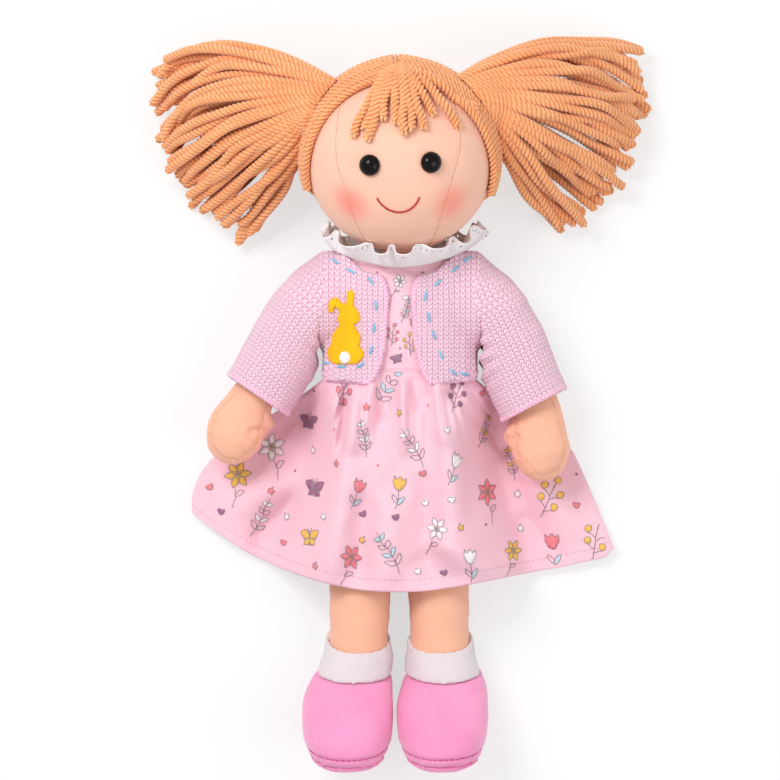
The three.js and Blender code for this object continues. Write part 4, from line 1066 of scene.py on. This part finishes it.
# Each fold of the front: from and to pixel, width and height in millimetres, deep ones below zero
skirt_folds = [
    ((346, 388), (340, 452), 2.6, -4.5), ((356, 390), (352, 450), 5.0, 3.2),
    ((335, 396), (312, 452), 5.5, 2.6), ((322, 392), (280, 430), 4.0, -2.0),
    ((372, 378), (366, 430), 3.4, 2.4), ((382, 376), (379, 420), 2.4, -1.8),
    ((394, 374), (392, 408), 2.2, -2.8), ((403, 376), (404, 450), 4.0, 2.6),
    ((415, 376), (418, 410), 2.4, -1.6), ((426, 375), (427, 396), 2.2, -2.6),
    ((436, 380), (444, 440), 4.2, 2.6), ((449, 392), (477, 421), 2.8, -3.0),
    ((477, 421), (507, 456), 3.4, -3.8), ((507, 456), (524, 488), 4.5, -2.6),
    ((458, 398), (500, 448), 5.0, 3.4), ((500, 448), (575, 528), 7.5, 3.4),
    ((464, 443), (471, 520), 6.0, -2.0), ((448, 430), (452, 560), 8.0, 2.4),
    ((318, 470), (232, 505), 11, 3.4), ((352, 470), (330, 575), 8, 2.6),
    ((392, 500), (388, 585), 10, 3.2), ((430, 540), (505, 575), 7, 2.8),
    ((545, 480), (600, 545), 7, 2.8), ((522, 520), (560, 560), 6, -2.4),
    ((290, 500), (258, 545), 6, -2.0), ((364, 500), (360, 580), 6, -1.8),
    ((424, 480), (428, 575), 6, -2.0),
]


def fold_height(x, y):
    """The height of all folds together at a place, each running out softly past its ends."""
    place = Vector((x, y))
    total = 0
    for top, bottom, width, height in skirt_folds:
        a, b = Vector(pixel(*top)), Vector(pixel(*bottom))
        line = b - a
        along = (place - a).dot(line) / line.length_squared
        off = (place - (a + line * min(max(along, 0), 1))).length
        ends = smooth(along, -0.25, 0.2) * (1 - smooth(along, 0.8, 1.3))
        total += height * blob(off, width) * ends
    return total


def front_height(x, y):
    """How high the front lies: round over the body at the waist, flatter over the legs."""
    down = smooth(-y / SKIRT_FRONT, 0.3, 1)
    crest = mix(BODY_LEVEL + BODY_HALF_DEPTH + WAIST_EASE, BODY_LEVEL + LEG_RADIUS, down)
    flat = mix(BODY_HALF_WIDTH * 0.72, HIP_OUT + LEG_RADIUS, down)
    fall = mix(BODY_HALF_WIDTH * 0.64, LEG_RADIUS * 2.2, down)
    return mix(crest, SKIRT_EDGE, smooth(abs(x), flat, flat + fall))


def side_bulge(down, left):
    """How far the cloth at the sides stands out from a straight fall."""
    most, at, exponent = (21, 0.45, 1.1) if left else (18.3, 0.6, 1.9)
    return most * smooth(down, 0, at) * (1 - (max(down - at, 0) / (1 - at)) ** exponent)


def skirt_place(turn, down):
    """A point of the skirt: turn runs round from the middle of the front, down from the waist."""
    sine, cosine = sin(turn), cos(turn)
    waist = Vector((power(sine, 2 / BODY_ROUND) * (BODY_HALF_WIDTH * WAIST_SHARE + WAIST_EASE), 0,
                    BODY_LEVEL + power(cosine, 2 / BODY_ROUND) * (BODY_HALF_DEPTH + WAIST_EASE)))
    share = 1 - abs(1 - abs(turn) / (pi / 2))
    left = turn > 0
    angle = copysign(share * (SKIRT_LEFT_ANGLE if left else SKIRT_RIGHT_ANGLE), turn)
    if left:
        reach = mix(SKIRT_FRONT, SKIRT_LEFT, min((share / 0.94) ** 2.9, 1))
    else:
        reach = mix(SKIRT_FRONT, SKIRT_RIGHT, share ** 2)
    point = waist.lerp(Vector((reach * sin(angle), -reach * cos(angle), 0)), down)
    point.x += copysign(side_bulge(down, left) * share ** 2.5, turn)
    if abs(turn) > pi / 2:
        point.z = mix(waist.z, 1, smooth(down, 0.08, 0.2))
        return point
    inner = 1 - smooth(share, 0.72, 0.97)
    gather = 1.1 * sin(turn * 34 + 1.5 * sin(turn * 9)) + 0.7 * sin(turn * 61)
    gather *= inner * smooth(down, 0, 0.05) * (1 - smooth(down, 0.1, 0.45))
    swag = 0.55 * (1 - cos(turn * 18)) * smooth(down, 0.05, 0.5) * inner
    folds = FOLD_DEPTH * fold_height(point.x, point.y) * inner * smooth(down, 0, 0.06)
    flat_place = Vector((point.x, point.y, 0))
    crumple = noise.noise(flat_place * 0.05) * 1.6 + noise.noise(flat_place * 0.13) * 0.7
    crumple *= smooth(down, 0.1, 0.4) * inner
    lie = front_height(point.x, point.y) + gather + swag + crumple
    point.z = max(mix(waist.z, lie, smooth(down, 0, 0.3)) + folds, FOLD_BOTTOM)
    return point


def hang(obj):
    """Puts the place of a piece of the skirt into its mesh."""
    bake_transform(obj)


def make_skirt(body):
    """The gathered skirt, never lower than the body under it."""
    bm = bmesh.new()
    bmesh.ops.create_grid(bm, x_segments=330, y_segments=96, size=0.5)
    for vert in bm.verts:
        turn = vert.co.x * tau
        down = 0.5 - vert.co.y
        vert.co = skirt_place(turn, down)
        under, _ = dropped(body, vert.co.x, vert.co.y)
        if under and vert.co.z > BODY_LEVEL and down > 0.02:
            vert.co.z = max(vert.co.z, under.z + SKIRT_CLEARANCE)
    bmesh.ops.remove_doubles(bm, verts=bm.verts, dist=0.05)
    bmesh.ops.recalc_face_normals(bm, faces=bm.faces)
    skirt = piece("dress_skirt_cotton", bm, lawn, None)
    front = [face for face in skirt.data.polygons if face.center.z > 0.02]
    if sum(face.normal.z * face.area for face in front) < 0:
        skirt.data.flip_normals()
    thicken(skirt, 0.8, offset=-1)
    hang(skirt)
    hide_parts("dress_skirt")
    return skirt


def make_bodice():
    bodice = piece("dress_bodice_cotton", cad_copy("dress_bodice"), lawn, None)
    remesh(bodice, 1.0, smoothing=2)
    push(bodice, lambda place, normal: 0.1 + noise.noise(place * 0.07) * 0.25)
    for vert in bodice.data.vertices:
        # The shoulders are a little higher than the solid's
        place = vert.co / MM
        vert.co.y += 4.5 * smooth(place.y, 46, 57) * smooth(abs(place.x), 7, 27) * MM
    stand_for(bodice, "dress_bodice", "torso")
    waist = []
    for k in range(120):
        place = skirt_place(tau * k / 120 - pi, 0)
        waist.append(Vector((place.x * 0.985, 0.1, mix(BODY_LEVEL, place.z, 0.985))))
    spun("waist_piping", [waist], 0.9, lawn, "torso", plies=1, depth=0, points=8, closed=True)
    return bodice


FRILL_WAVES, FRILL_LENGTH, FRILL_HEIGHT = 15, 336, 13


def make_frill():
    """The ruffle: gathered at the neckline, its free edge in soft folds that lean on each other."""
    around, rows = 660, 16
    bm = bmesh.new()
    bmesh.ops.create_grid(bm, x_segments=around, y_segments=rows, size=0.5)
    for vert in bm.verts:
        turn = vert.co.x * tau
        share = vert.co.y + 0.5
        phase = turn * FRILL_WAVES + 1.1 * sin(turn * 3) + 0.9 * sin(turn * 7 + 1)
        depth = share ** 0.75 * (2.8 + 2.4 * noise.noise(Vector((turn * 3.1, 4, 0))))
        wave = sin(phase) * depth
        turn -= (0.016 * sin(2 * phase) + 0.022 * cos(phase)) * share
        cosine, side = cos(turn), sin(turn) ** 2
        flare = mix(12.5, 5 + 1.6 * sin(turn), side) * share ** 0.85
        flare += 0.9 * (wave + 0.6 * depth) + 1.2
        deep = 26 + (flare * mix(1, 1.5, cosine) if cosine > 0 else -flare * 0.25)
        rise = 6 * side - 1.35 * (1 + cosine) ** 2 + mix(9, 12, side) * share - 0.9 * wave
        vert.co = Vector(((30 + 5 * side + flare) * sin(turn), 60.4 + rise,
                          BODY_LEVEL + deep * cosine))
        away = vert.co - HEAD_CENTRE
        if away.length < HEAD_RADIUS + 1:
            vert.co = HEAD_CENTRE + away.normalized() * (HEAD_RADIUS + 1)
        vert.co.z = max(vert.co.z, 1.2)
    layer = bm.loops.layers.uv.new("Pattern")
    bm.verts.index_update()
    width = around + 1
    for face in bm.faces:
        for loop in face.loops:
            k = loop.vert.index
            loop[layer].uv = ((k % width) / around * FRILL_LENGTH, (k // width) / rows * FRILL_HEIGHT)
    frill = piece("neck_frill_voile", bm, voile, None)
    thicken(frill, 0.45, offset=0)
    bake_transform(frill)
    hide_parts("neck_frill")


# Cardigan

STITCH_WIDTH, STITCH_HEIGHT = 2.9, 2.3
SLEEVE_RADIUS, CUFF_EDGE_RADIUS, ARMHOLE_SEAM_RADIUS = 20, 18.7, 20.7
cuffs = {"right": Vector((-76, -13, BODY_LEVEL)), "left": Vector((71.5, -18, BODY_LEVEL))}
SHOULDER = Vector((43.4, 34.5, BODY_LEVEL))
# The left sleeve is creased more deeply
CREASE = {"right": 0.7, "left": 1.5}


def sleeve_lines(side):
    """The shoulder, the way down the sleeve and the way across it, towards the body."""
    shoulder = Vector((SHOULDER.x * SIDES[side], SHOULDER.y, SHOULDER.z))
    along = (cuffs[side] - shoulder).normalized()
    return shoulder, along, along.cross(Vector((0, 0, 1))).normalized() * SIDES[side]


def shoulder_rise(place):
    """How much higher the padded shoulder stands than its solid's flat one."""
    return 7 * smooth(place.y, 30, 57) * blob(abs(place.x) - 38, 17)


def lift_shoulders(obj):
    """Raises the shoulders, and lets the fronts' lower corners hang a little lower."""
    for vert in obj.data.vertices:
        place = vert.co / MM
        sag = 4 * smooth(-place.y, -9, 0) * blob(abs(place.x) - 41, 9) if place.z > BODY_LEVEL else 0
        vert.co.y += (shoulder_rise(place) - sag) * MM


def knitted(name, node):
    """An even fine mesh of a knitted piece's solid."""
    obj = piece(name, cad_copy(node), knit, None)
    remesh(obj, 1.2, smoothing=3)
    subdivide(obj, 1)
    return obj


def make_sleeve(side):
    obj = knitted(f"sleeve_{side}_knit", f"sleeve_{side}")
    shoulder, along, inward = sleeve_lines(side)

    def sleeve_uv(place, normal):
        off = place - shoulder
        around = atan2(off.z, off.dot(inward)) * SLEEVE_RADIUS
        return around / STITCH_WIDTH, off.dot(along) / STITCH_HEIGHT

    def sleeve_relief(place, normal):
        off = place - shoulder
        reach = off.dot(along)
        crease = sin(reach * 0.8 + 2.0 * noise.noise(place * 0.06)) * blob(reach - 20, 15)
        crease *= CREASE[side] * smooth(off.dot(inward), 1, 13)
        outward = smooth(-off.dot(inward), 2, 17)
        full = (2.0 * blob(reach - 24, 20) + 3.6 * blob(reach + 1, 9)) * outward
        return 0.2 + noise.noise(place * 0.09) * 0.5 + crease + 0.6 * blob(reach - 9, 7) + full

    push(obj, sleeve_relief)
    give_uv(obj, sleeve_uv)
    for vert in obj.data.vertices:
        # The sleeve's head is tucked into the armhole
        off = vert.co / MM - shoulder
        tuck = 1 - smooth(off.dot(along), 0, 8)
        round_arm = off - along * off.dot(along)
        vert.co += (round_arm.normalized() * 1.3 - Vector((SIDES[side] * 4, 0, 0))) * tuck * MM
        vert.co.y += shoulder_rise(vert.co / MM) * MM
    stand_for(obj, f"sleeve_{side}", f"arm_{side}")


def make_cardigan():
    """The cardigan's body and sleeves. Gives the fronts, right and left."""
    made = {}
    for part in ("back", "front_right", "front_left"):
        obj = knitted(f"cardigan_{part}_knit", f"cardigan_{part}")
        push(obj, lambda place, normal: 0.3 + noise.noise(place * 0.1) * 0.5)
        give_uv(obj, lambda place, normal: (place.x / STITCH_WIDTH, place.y / STITCH_HEIGHT))
        lift_shoulders(obj)
        stand_for(obj, f"cardigan_{part}", "torso")
        made[part] = obj
    for side in SIDES:
        make_sleeve(side)
    return made["front_right"], made["front_left"]


# The free edge of each front, in the same shares as the solid's: from the opening to the armhole,
# and from the waist to the neck
front_edge = [(0.72, 1.06), (0.16, 0.86), (0, 0.72), (0.02, 0.4), (0.1, 0.12), (0.3, -0.09),
              (0.62, -0.15), (1, -0.13), (1.38, -0.02)]
FRONT_OPENING, NECK_EDGE, WAIST_TO_NECK = 6, 33, 60


def knit_chain(name, path, thick, body, closed=False):
    """A crocheted chain along a path."""
    spun(name, [path], thick, knit_edge, body, plies=2, turn=4.4, depth=0.3, points=12, closed=closed)


def make_knit_edges(fronts):
    """Turned-in edges and seams of the knit: down each front, round the cuffs and the armholes."""
    outline = curve_through([Vector((mix(FRONT_OPENING, NECK_EDGE, across), WAIST_TO_NECK * up, 0))
                             for across, up in front_edge], 8)
    for (side, sign), front in zip(SIDES.items(), fronts):
        tree = surface_of(front)
        path = []
        for k, place in enumerate(outline):
            way = outline[min(k + 1, len(outline) - 1)] - outline[max(k - 1, 0)]
            inside = place + Vector((-way.y, way.x, 0)).normalized() * 1.5
            point, _ = dropped(tree, sign * inside.x, inside.y, lift=-0.9)
            if point:
                path.append(point)
        knit_chain(f"front_edge_{side}", path, 1.6, "torso")
        shoulder, along, inward = sleeve_lines(side)
        turns = [tau * k / 90 for k in range(91)]
        cuff, armhole = cuffs[side] - along * 1.2, shoulder - Vector((sign * 0.2, 0, 0))
        ring = [cuff + (inward * cos(t) + Vector((0, 0, sin(t)))) * CUFF_EDGE_RADIUS
                for t in turns]
        knit_chain(f"cuff_edge_{side}", ring, 1.5, f"arm_{side}", closed=True)
        ring = [armhole + Vector((0, cos(t), sin(t))) * ARMHOLE_SEAM_RADIUS for t in turns]
        ring = [p + Vector((0, shoulder_rise(p), 0)) for p in ring]
        knit_chain(f"armhole_seam_{side}", ring, 0.8, "torso", closed=True)


# The middle of each running stitch, in pixels, and how long a stitch is
running_stitches = {
    "right": [(335.7, 261.5), (351, 271), (370.8, 281.2), (375.9, 305.5), (374, 328.4),
              (371.4, 350), (360.6, 365.4), (342, 366.7), (324.9, 362.9)],
    "left": [(467, 259.5), (455, 269), (438.4, 282.5), (425.6, 296.5), (428.8, 317), (434, 335),
             (441, 355), (453, 372), (464, 374)],
}
RUNNING_STITCH = 9


def make_stitching(tree):
    """Blue running stitches that follow the edge of each front."""
    for side, marks in running_stitches.items():
        runs = []
        for k, mark in enumerate(marks):
            way = Vector(marks[min(k + 1, len(marks) - 1)]) - Vector(marks[max(k - 1, 0)])
            run = []
            for t in (share - 0.5 for share in shares(8)):
                x, y = pixel(*(Vector(mark) + way.normalized() * t * RUNNING_STITCH))
                point, _ = dropped(tree, x, y)
                if point:
                    run.append(point + Vector((0, 0, cos(pi * t) - 0.45)))
            if len(run) > 4:
                runs.append(run)
        spun(f"running_stitch_{side}", runs, 0.78, blue_thread, "torso", turn=4, step=0.5)


# The motif's outline, in the same shares of its width and height as the solid's
motif_shares = [
    (-0.3, 0), (0.3, 0), (0.48, 0.08), (0.5, 0.16), (0.36, 0.24), (0.42, 0.36), (0.3, 0.46),
    (0.22, 0.52), (0.4, 0.6), (0.36, 0.7), (0.2, 0.79), (0.24, 0.95), (0.16, 1), (0.06, 0.96),
    (0.05, 0.82), (-0.08, 0.8), (-0.26, 0.9), (-0.44, 0.84), (-0.46, 0.7), (-0.36, 0.7),
    (-0.3, 0.79), (-0.14, 0.72), (-0.2, 0.6), (-0.14, 0.52), (-0.34, 0.4), (-0.38, 0.26),
    (-0.5, 0.18), (-0.46, 0.06),
]
MOTIF_WIDTH, MOTIF_HEIGHT, MOTIF_OUT, MOTIF_LOW = 19, 39, 29, 4


def make_motif(front):
    """The felt motif, overcast along its edge, and its fluffy tail."""
    patch = piece("bunny_applique_felt", cad_copy("bunny_applique"), felt, None)
    remesh(patch, 0.55, smoothing=2)
    push(patch, lambda place, normal: 0.35 + noise.noise(place * 0.8) * 0.12)
    stand_for(patch, "bunny_applique", "torso")
    tree = surface_of(patch, front)
    outline = ring_of([Vector((MOTIF_WIDTH * a - MOTIF_OUT, MOTIF_LOW + MOTIF_HEIGHT * b, 0))
                       for a, b in motif_shares])
    outline = resampled(outline, 2.4)
    runs = []
    for before, place, after in zip(outline, outline[1:], outline[2:]):
        inward = Vector((-(after - before).y, (after - before).x, 0)).normalized()
        run = []
        for t in shares(6):
            spot = place + inward * (t * 2.2 - 0.8)
            point, _ = dropped(tree, spot.x, spot.y)
            if point:
                run.append(point + Vector((0, 0, 0.3 * sin(pi * t) - 0.05)))
        if len(run) > 5:
            runs.append(run)
    sewn("motif_overcast_stitches", runs, 0.2, gold_thread, "torso", step=0.35)
    tail = piece("bunny_tail_fluff", cad_copy("bunny_tail"), fluff, None)
    remesh(tail, 0.4, smoothing=2)
    push(tail, lambda place, normal: 0.2 + noise.noise(place * 1.6) * 0.5)
    stand_for(tail, "bunny_tail", "torso")


# The dress print: small line drawings, each in millimetres about its own middle, +Y up. Each motif
# gives its lines, and its fills with their inks.

inks = {
    "grey": printing_ink("printing_ink_grey_mauve", "#8d7f8c"),
    "coral": printing_ink("printing_ink_coral", "#f0707c"),
    "mustard": printing_ink("printing_ink_mustard", "#f2b81e"),
    "white": printing_ink("printing_ink_white", "#f6eef2"),
    "plum": printing_ink("printing_ink_plum", "#9c4a7c"),
    "blue": printing_ink("printing_ink_pale_blue", "#b9d3df"),
}


def turned(points, angle, x=0.0, y=0.0):
    """Points turned about the middle and then moved."""
    c, s = cos(angle), sin(angle)
    return [(x + a * c - b * s, y + a * s + b * c) for a, b in points]


def disc(x, y, radius):
    turns = [tau * k / 12 for k in range(12)]
    return [(x + radius * cos(t), y + radius * sin(t)) for t in turns]


def leaf(x, y, angle, length, width):
    """A pointed leaf that grows from a place."""
    half = [(length * t, width / 2 * sin(pi * t ** 0.85)) for t in shares(7)]
    return turned(half + [(a, -b) for a, b in half[-2:0:-1]], angle, x, y)


def blossom(ink):
    middle, side = disc(0, 2, 1.15), leaf(0.3, -4.6, 0.7, 3.4, 1.4)
    petals = [leaf(0, 2, tau * k / 6 + 0.3, 4.4, 2.3) for k in range(6)]
    stem = [(0, -2.4), (0.4, -5), (-0.1, -8.4)]
    lines = [ring_of(shape) for shape in (*petals, middle)] + [stem, ring_of(side)]
    return lines, [(ink, petal) for petal in petals] + [("mustard", middle)]


def sprig(ink):
    lines = [[(-0.8, -7), (0.2, -3), (0.3, 1), (-0.2, 4.5), (0.4, 7.6)]]
    fills = []
    for k in range(4):
        for way in (0.75, pi - 0.75):
            one = leaf(0.1, -4 + 2.9 * k, way, 3.7 - 0.4 * k, 1.5)
            lines.append(ring_of(one))
            if k % 2:
                fills.append((ink, one))
    return lines, fills


def berries(ink):
    lines, fills = [[(0, -6.5), (0.3, -2), (0, 1.5), (0.5, 5)]], []
    for x, y in ((-2.8, 3.2), (2.9, 2.2), (0.6, 6), (-2.4, -0.6), (2.6, -2)):
        berry = disc(x, y, 1.15)
        lines += [[(0.1, y - 2.6), (x * 0.5, y - 1.7), (x, y - 1.1)], ring_of(berry)]
        fills.append((ink, berry))
    return lines, fills


def heart(ink):
    turns = [tau * k / 20 for k in range(20)]
    shape = [(2.5 * sin(t) ** 3, 2.0 * cos(t) - 0.8 * cos(2 * t) - 0.3 * cos(3 * t))
             for t in turns]
    return [ring_of(shape)], [(ink, shape)]


def star(ink):
    shape = []
    for k in range(10):
        reach, turn = (1.2 if k % 2 else 2.7), pi * k / 5
        shape.append((reach * sin(turn), reach * cos(turn)))
    return [ring_of(shape)], [(ink, shape)]


def bell(ink):
    cup = [(-2.1, 3.2), (-2.3, 1), (-1.2, -1), (0, -1.5), (1.2, -1), (2.3, 1), (2.1, 3.2), (1.1, 2.1),
           (0, 3.6), (-1.1, 2.1)]
    stem = [(0, -1.5), (0.3, -4.5), (-0.2, -8)]
    low, high = leaf(0, -6.5, 0.9, 4.2, 1.5), leaf(0, -6, pi - 1, 3.6, 1.4)
    return [ring_of(cup), stem, ring_of(low), ring_of(high)], [(ink, cup), ("blue", low)]


def moth(ink):
    lines, fills = [[(0, -2), (0, 2)], [(0, 2), (-0.9, 3.4)], [(0, 2), (0.9, 3.4)]], []
    for way, length, width in ((0.5, 4.6, 2.8), (-0.7, 3.2, 2.2)):
        for angle in (way, pi - way):
            wing = leaf(0, 0.3, angle, length, width)
            lines.append(ring_of(wing))
            fills.append((ink, wing))
    return lines, fills


def dot(ink):
    return [], [(ink, disc(0, 0, 0.8))]


large_motifs = [blossom("white"), sprig("blue"), berries("coral"), bell("coral"), sprig("mustard"),
                blossom("mustard"), moth("plum"), berries("mustard"), bell("white"), sprig("white"),
                blossom("coral"), moth("mustard"), berries("plum"), bell("mustard"), sprig("white")]
small_motifs = [heart("coral"), star("mustard"), dot("plum"), heart("white"), star("white"),
                dot("coral"), heart("plum"), star("coral")]


def on_cloth(tree, x, y, angle, back=False):
    """A mapping from a motif's millimetres to the cloth around a place, seen from in front or behind.
    On a slope the motif leans with the cloth."""
    facing = -1 if back else 1

    def drop(a, b):
        hit, normal, _, _ = tree.ray_cast(Vector((a, b, 200 * facing)) * MM, Vector((0, 0, -facing)))
        return (hit / MM + normal * 0.14, normal) if hit else (None, None)

    _, slope = drop(x, y)
    if slope is None:
        return None
    across = (abs(slope.z) / hypot(slope.x, slope.z)) ** 0.5
    along = (abs(slope.z) / hypot(slope.y, slope.z)) ** 0.5

    def place(a, b):
        (a, b), = turned([(a, b)], angle)
        return drop(x + a * across * facing, y + b * along)[0]

    return place


def shaky(p, seed):
    """The small unevenness of a line drawn by hand."""
    return 0.55 * noise.noise(Vector((p.x * 0.5, p.y * 0.5, seed)))


def print_on(name, spots, attach):
    """Prints motifs at spots. Each spot is a mapping to the cloth, a motif and its size."""
    drawn, filled = [], {}
    for place, (lines, fills), size in spots:
        if place is None:
            continue
        for line in lines:
            fine = resampled([Vector((a * size, b * size, 0)) for a, b in line], 0.9)
            points = [place(p.x + shaky(p, 0), p.y + shaky(p, 9)) for p in fine]
            if all(points):
                drawn.append(points)
        for ink, shape in fills:
            filled.setdefault(ink, []).append((place, [(a * size, b * size) for a, b in shape]))
    attach(spun(f"{name}_lines", drawn, 0.22, inks["grey"], None, plies=1, step=0.9, depth=0,
                points=4))
    for ink, shapes in filled.items():
        bm = bmesh.new()
        for place, outline in shapes:
            start = len(bm.verts)
            verts = bmesh.ops.create_circle(bm, cap_ends=True, segments=len(outline), radius=1)["verts"]
            for vert, (a, b) in zip(verts, outline):
                vert.co = (a, b, 0)
            faces = bmesh.ops.triangulate(bm, faces=[verts[0].link_faces[0]])["faces"]
            edges = {edge for face in faces for edge in face.edges}
            bmesh.ops.subdivide_edges(bm, edges=list(edges), cuts=1, use_grid_fill=True)
            bm.verts.ensure_lookup_table()
            made = bm.verts[start:]
            points = [place(vert.co.x, vert.co.y) for vert in made]
            if all(points):
                for vert, point in zip(made, points):
                    vert.co = point
            else:
                bmesh.ops.delete(bm, geom=made, context="VERTS")
        obj = piece(f"{name}_{ink}", bm, inks[ink], None)
        thicken(obj, 0.12, offset=0)
        attach(obj)


def scattered(fits, apart, taken):
    """Places spread unevenly but never crowded."""
    found = []
    for _ in range(2500):
        x, y = dice.uniform(-115, 115), dice.uniform(-120, -7)
        if all(hypot(x - a, y - b) > apart for a, b in taken + found) and fits(x, y):
            found.append((x, y))
    return found


def make_print(skirt, bodice):
    tree = surface_of(skirt)
    spots = []
    for back in (False, True):
        def fits(x, y, reach=7.5):
            corners = ((reach, -2), (-reach, -2), (0, -reach - 3))
            return all(on_cloth(tree, x + a, y + b, 0, back) for a, b in corners)

        large = scattered(fits, 21.5, [])
        for k, (x, y) in enumerate(large):
            place = on_cloth(tree, x, y, dice.uniform(-0.6, 0.6), back)
            spots.append((place, large_motifs[k % len(large_motifs)], dice.uniform(1.3, 1.8)))
        for k, (x, y) in enumerate(scattered(lambda x, y: fits(x, y, 4), 13.5, large)):
            place = on_cloth(tree, x, y, dice.uniform(-0.6, 0.6), back)
            spots.append((place, small_motifs[k % len(small_motifs)], 0.9))
    print_on("skirt_print", spots, hang)
    tree = surface_of(bodice)
    # The bodice's spots: place, large motif and small motif
    places = ((-1, 46, 0, 3), (3, 32, 1, 0), (-4, 19, 2, 2), (5, 14, 7, 5), (-1.5, 6, 6, 1),
              (8, 26, 3, 4))
    spots = [(on_cloth(tree, x, y, 0.2 * k - 0.5), large_motifs[large], 0.9)
             for k, (x, y, large, _) in enumerate(places)]
    spots += [(on_cloth(tree, x + 4, y - 7, 0.3), small_motifs[small], 0.7) for x, y, _, small in places]
    print_on("bodice_print", spots, lambda obj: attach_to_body(obj, "torso"))


def make_hem(skirt):
    """The stitches that hold the turned-up hem, all round the skirt."""
    tree = surface_of(skirt)
    line = []
    for k in range(900):
        place = skirt_place(tau * k / 900 - pi, HEM_SHARE)
        hit, normal, _, _ = tree.find_nearest(place * MM)
        line.append(hit / MM + normal * 0.02)
    runs = running(line, 1.8, 1.2, lambda place: Vector((0, 0, 0.1)))
    hang(sewn("hem_stitches", runs, 0.2, pink_thread, None, step=0.6))


make_face()
make_eyes()
make_bunches()
make_hair()
make_fringe()
body = make_limbs()
make_feet()
skirt, bodice = make_skirt(body), make_bodice()
make_print(skirt, bodice)
make_hem(skirt)
make_frill()
fronts = make_cardigan()
make_knit_edges(fronts)
make_stitching(surface_of(*fronts))
make_motif(fronts[0])
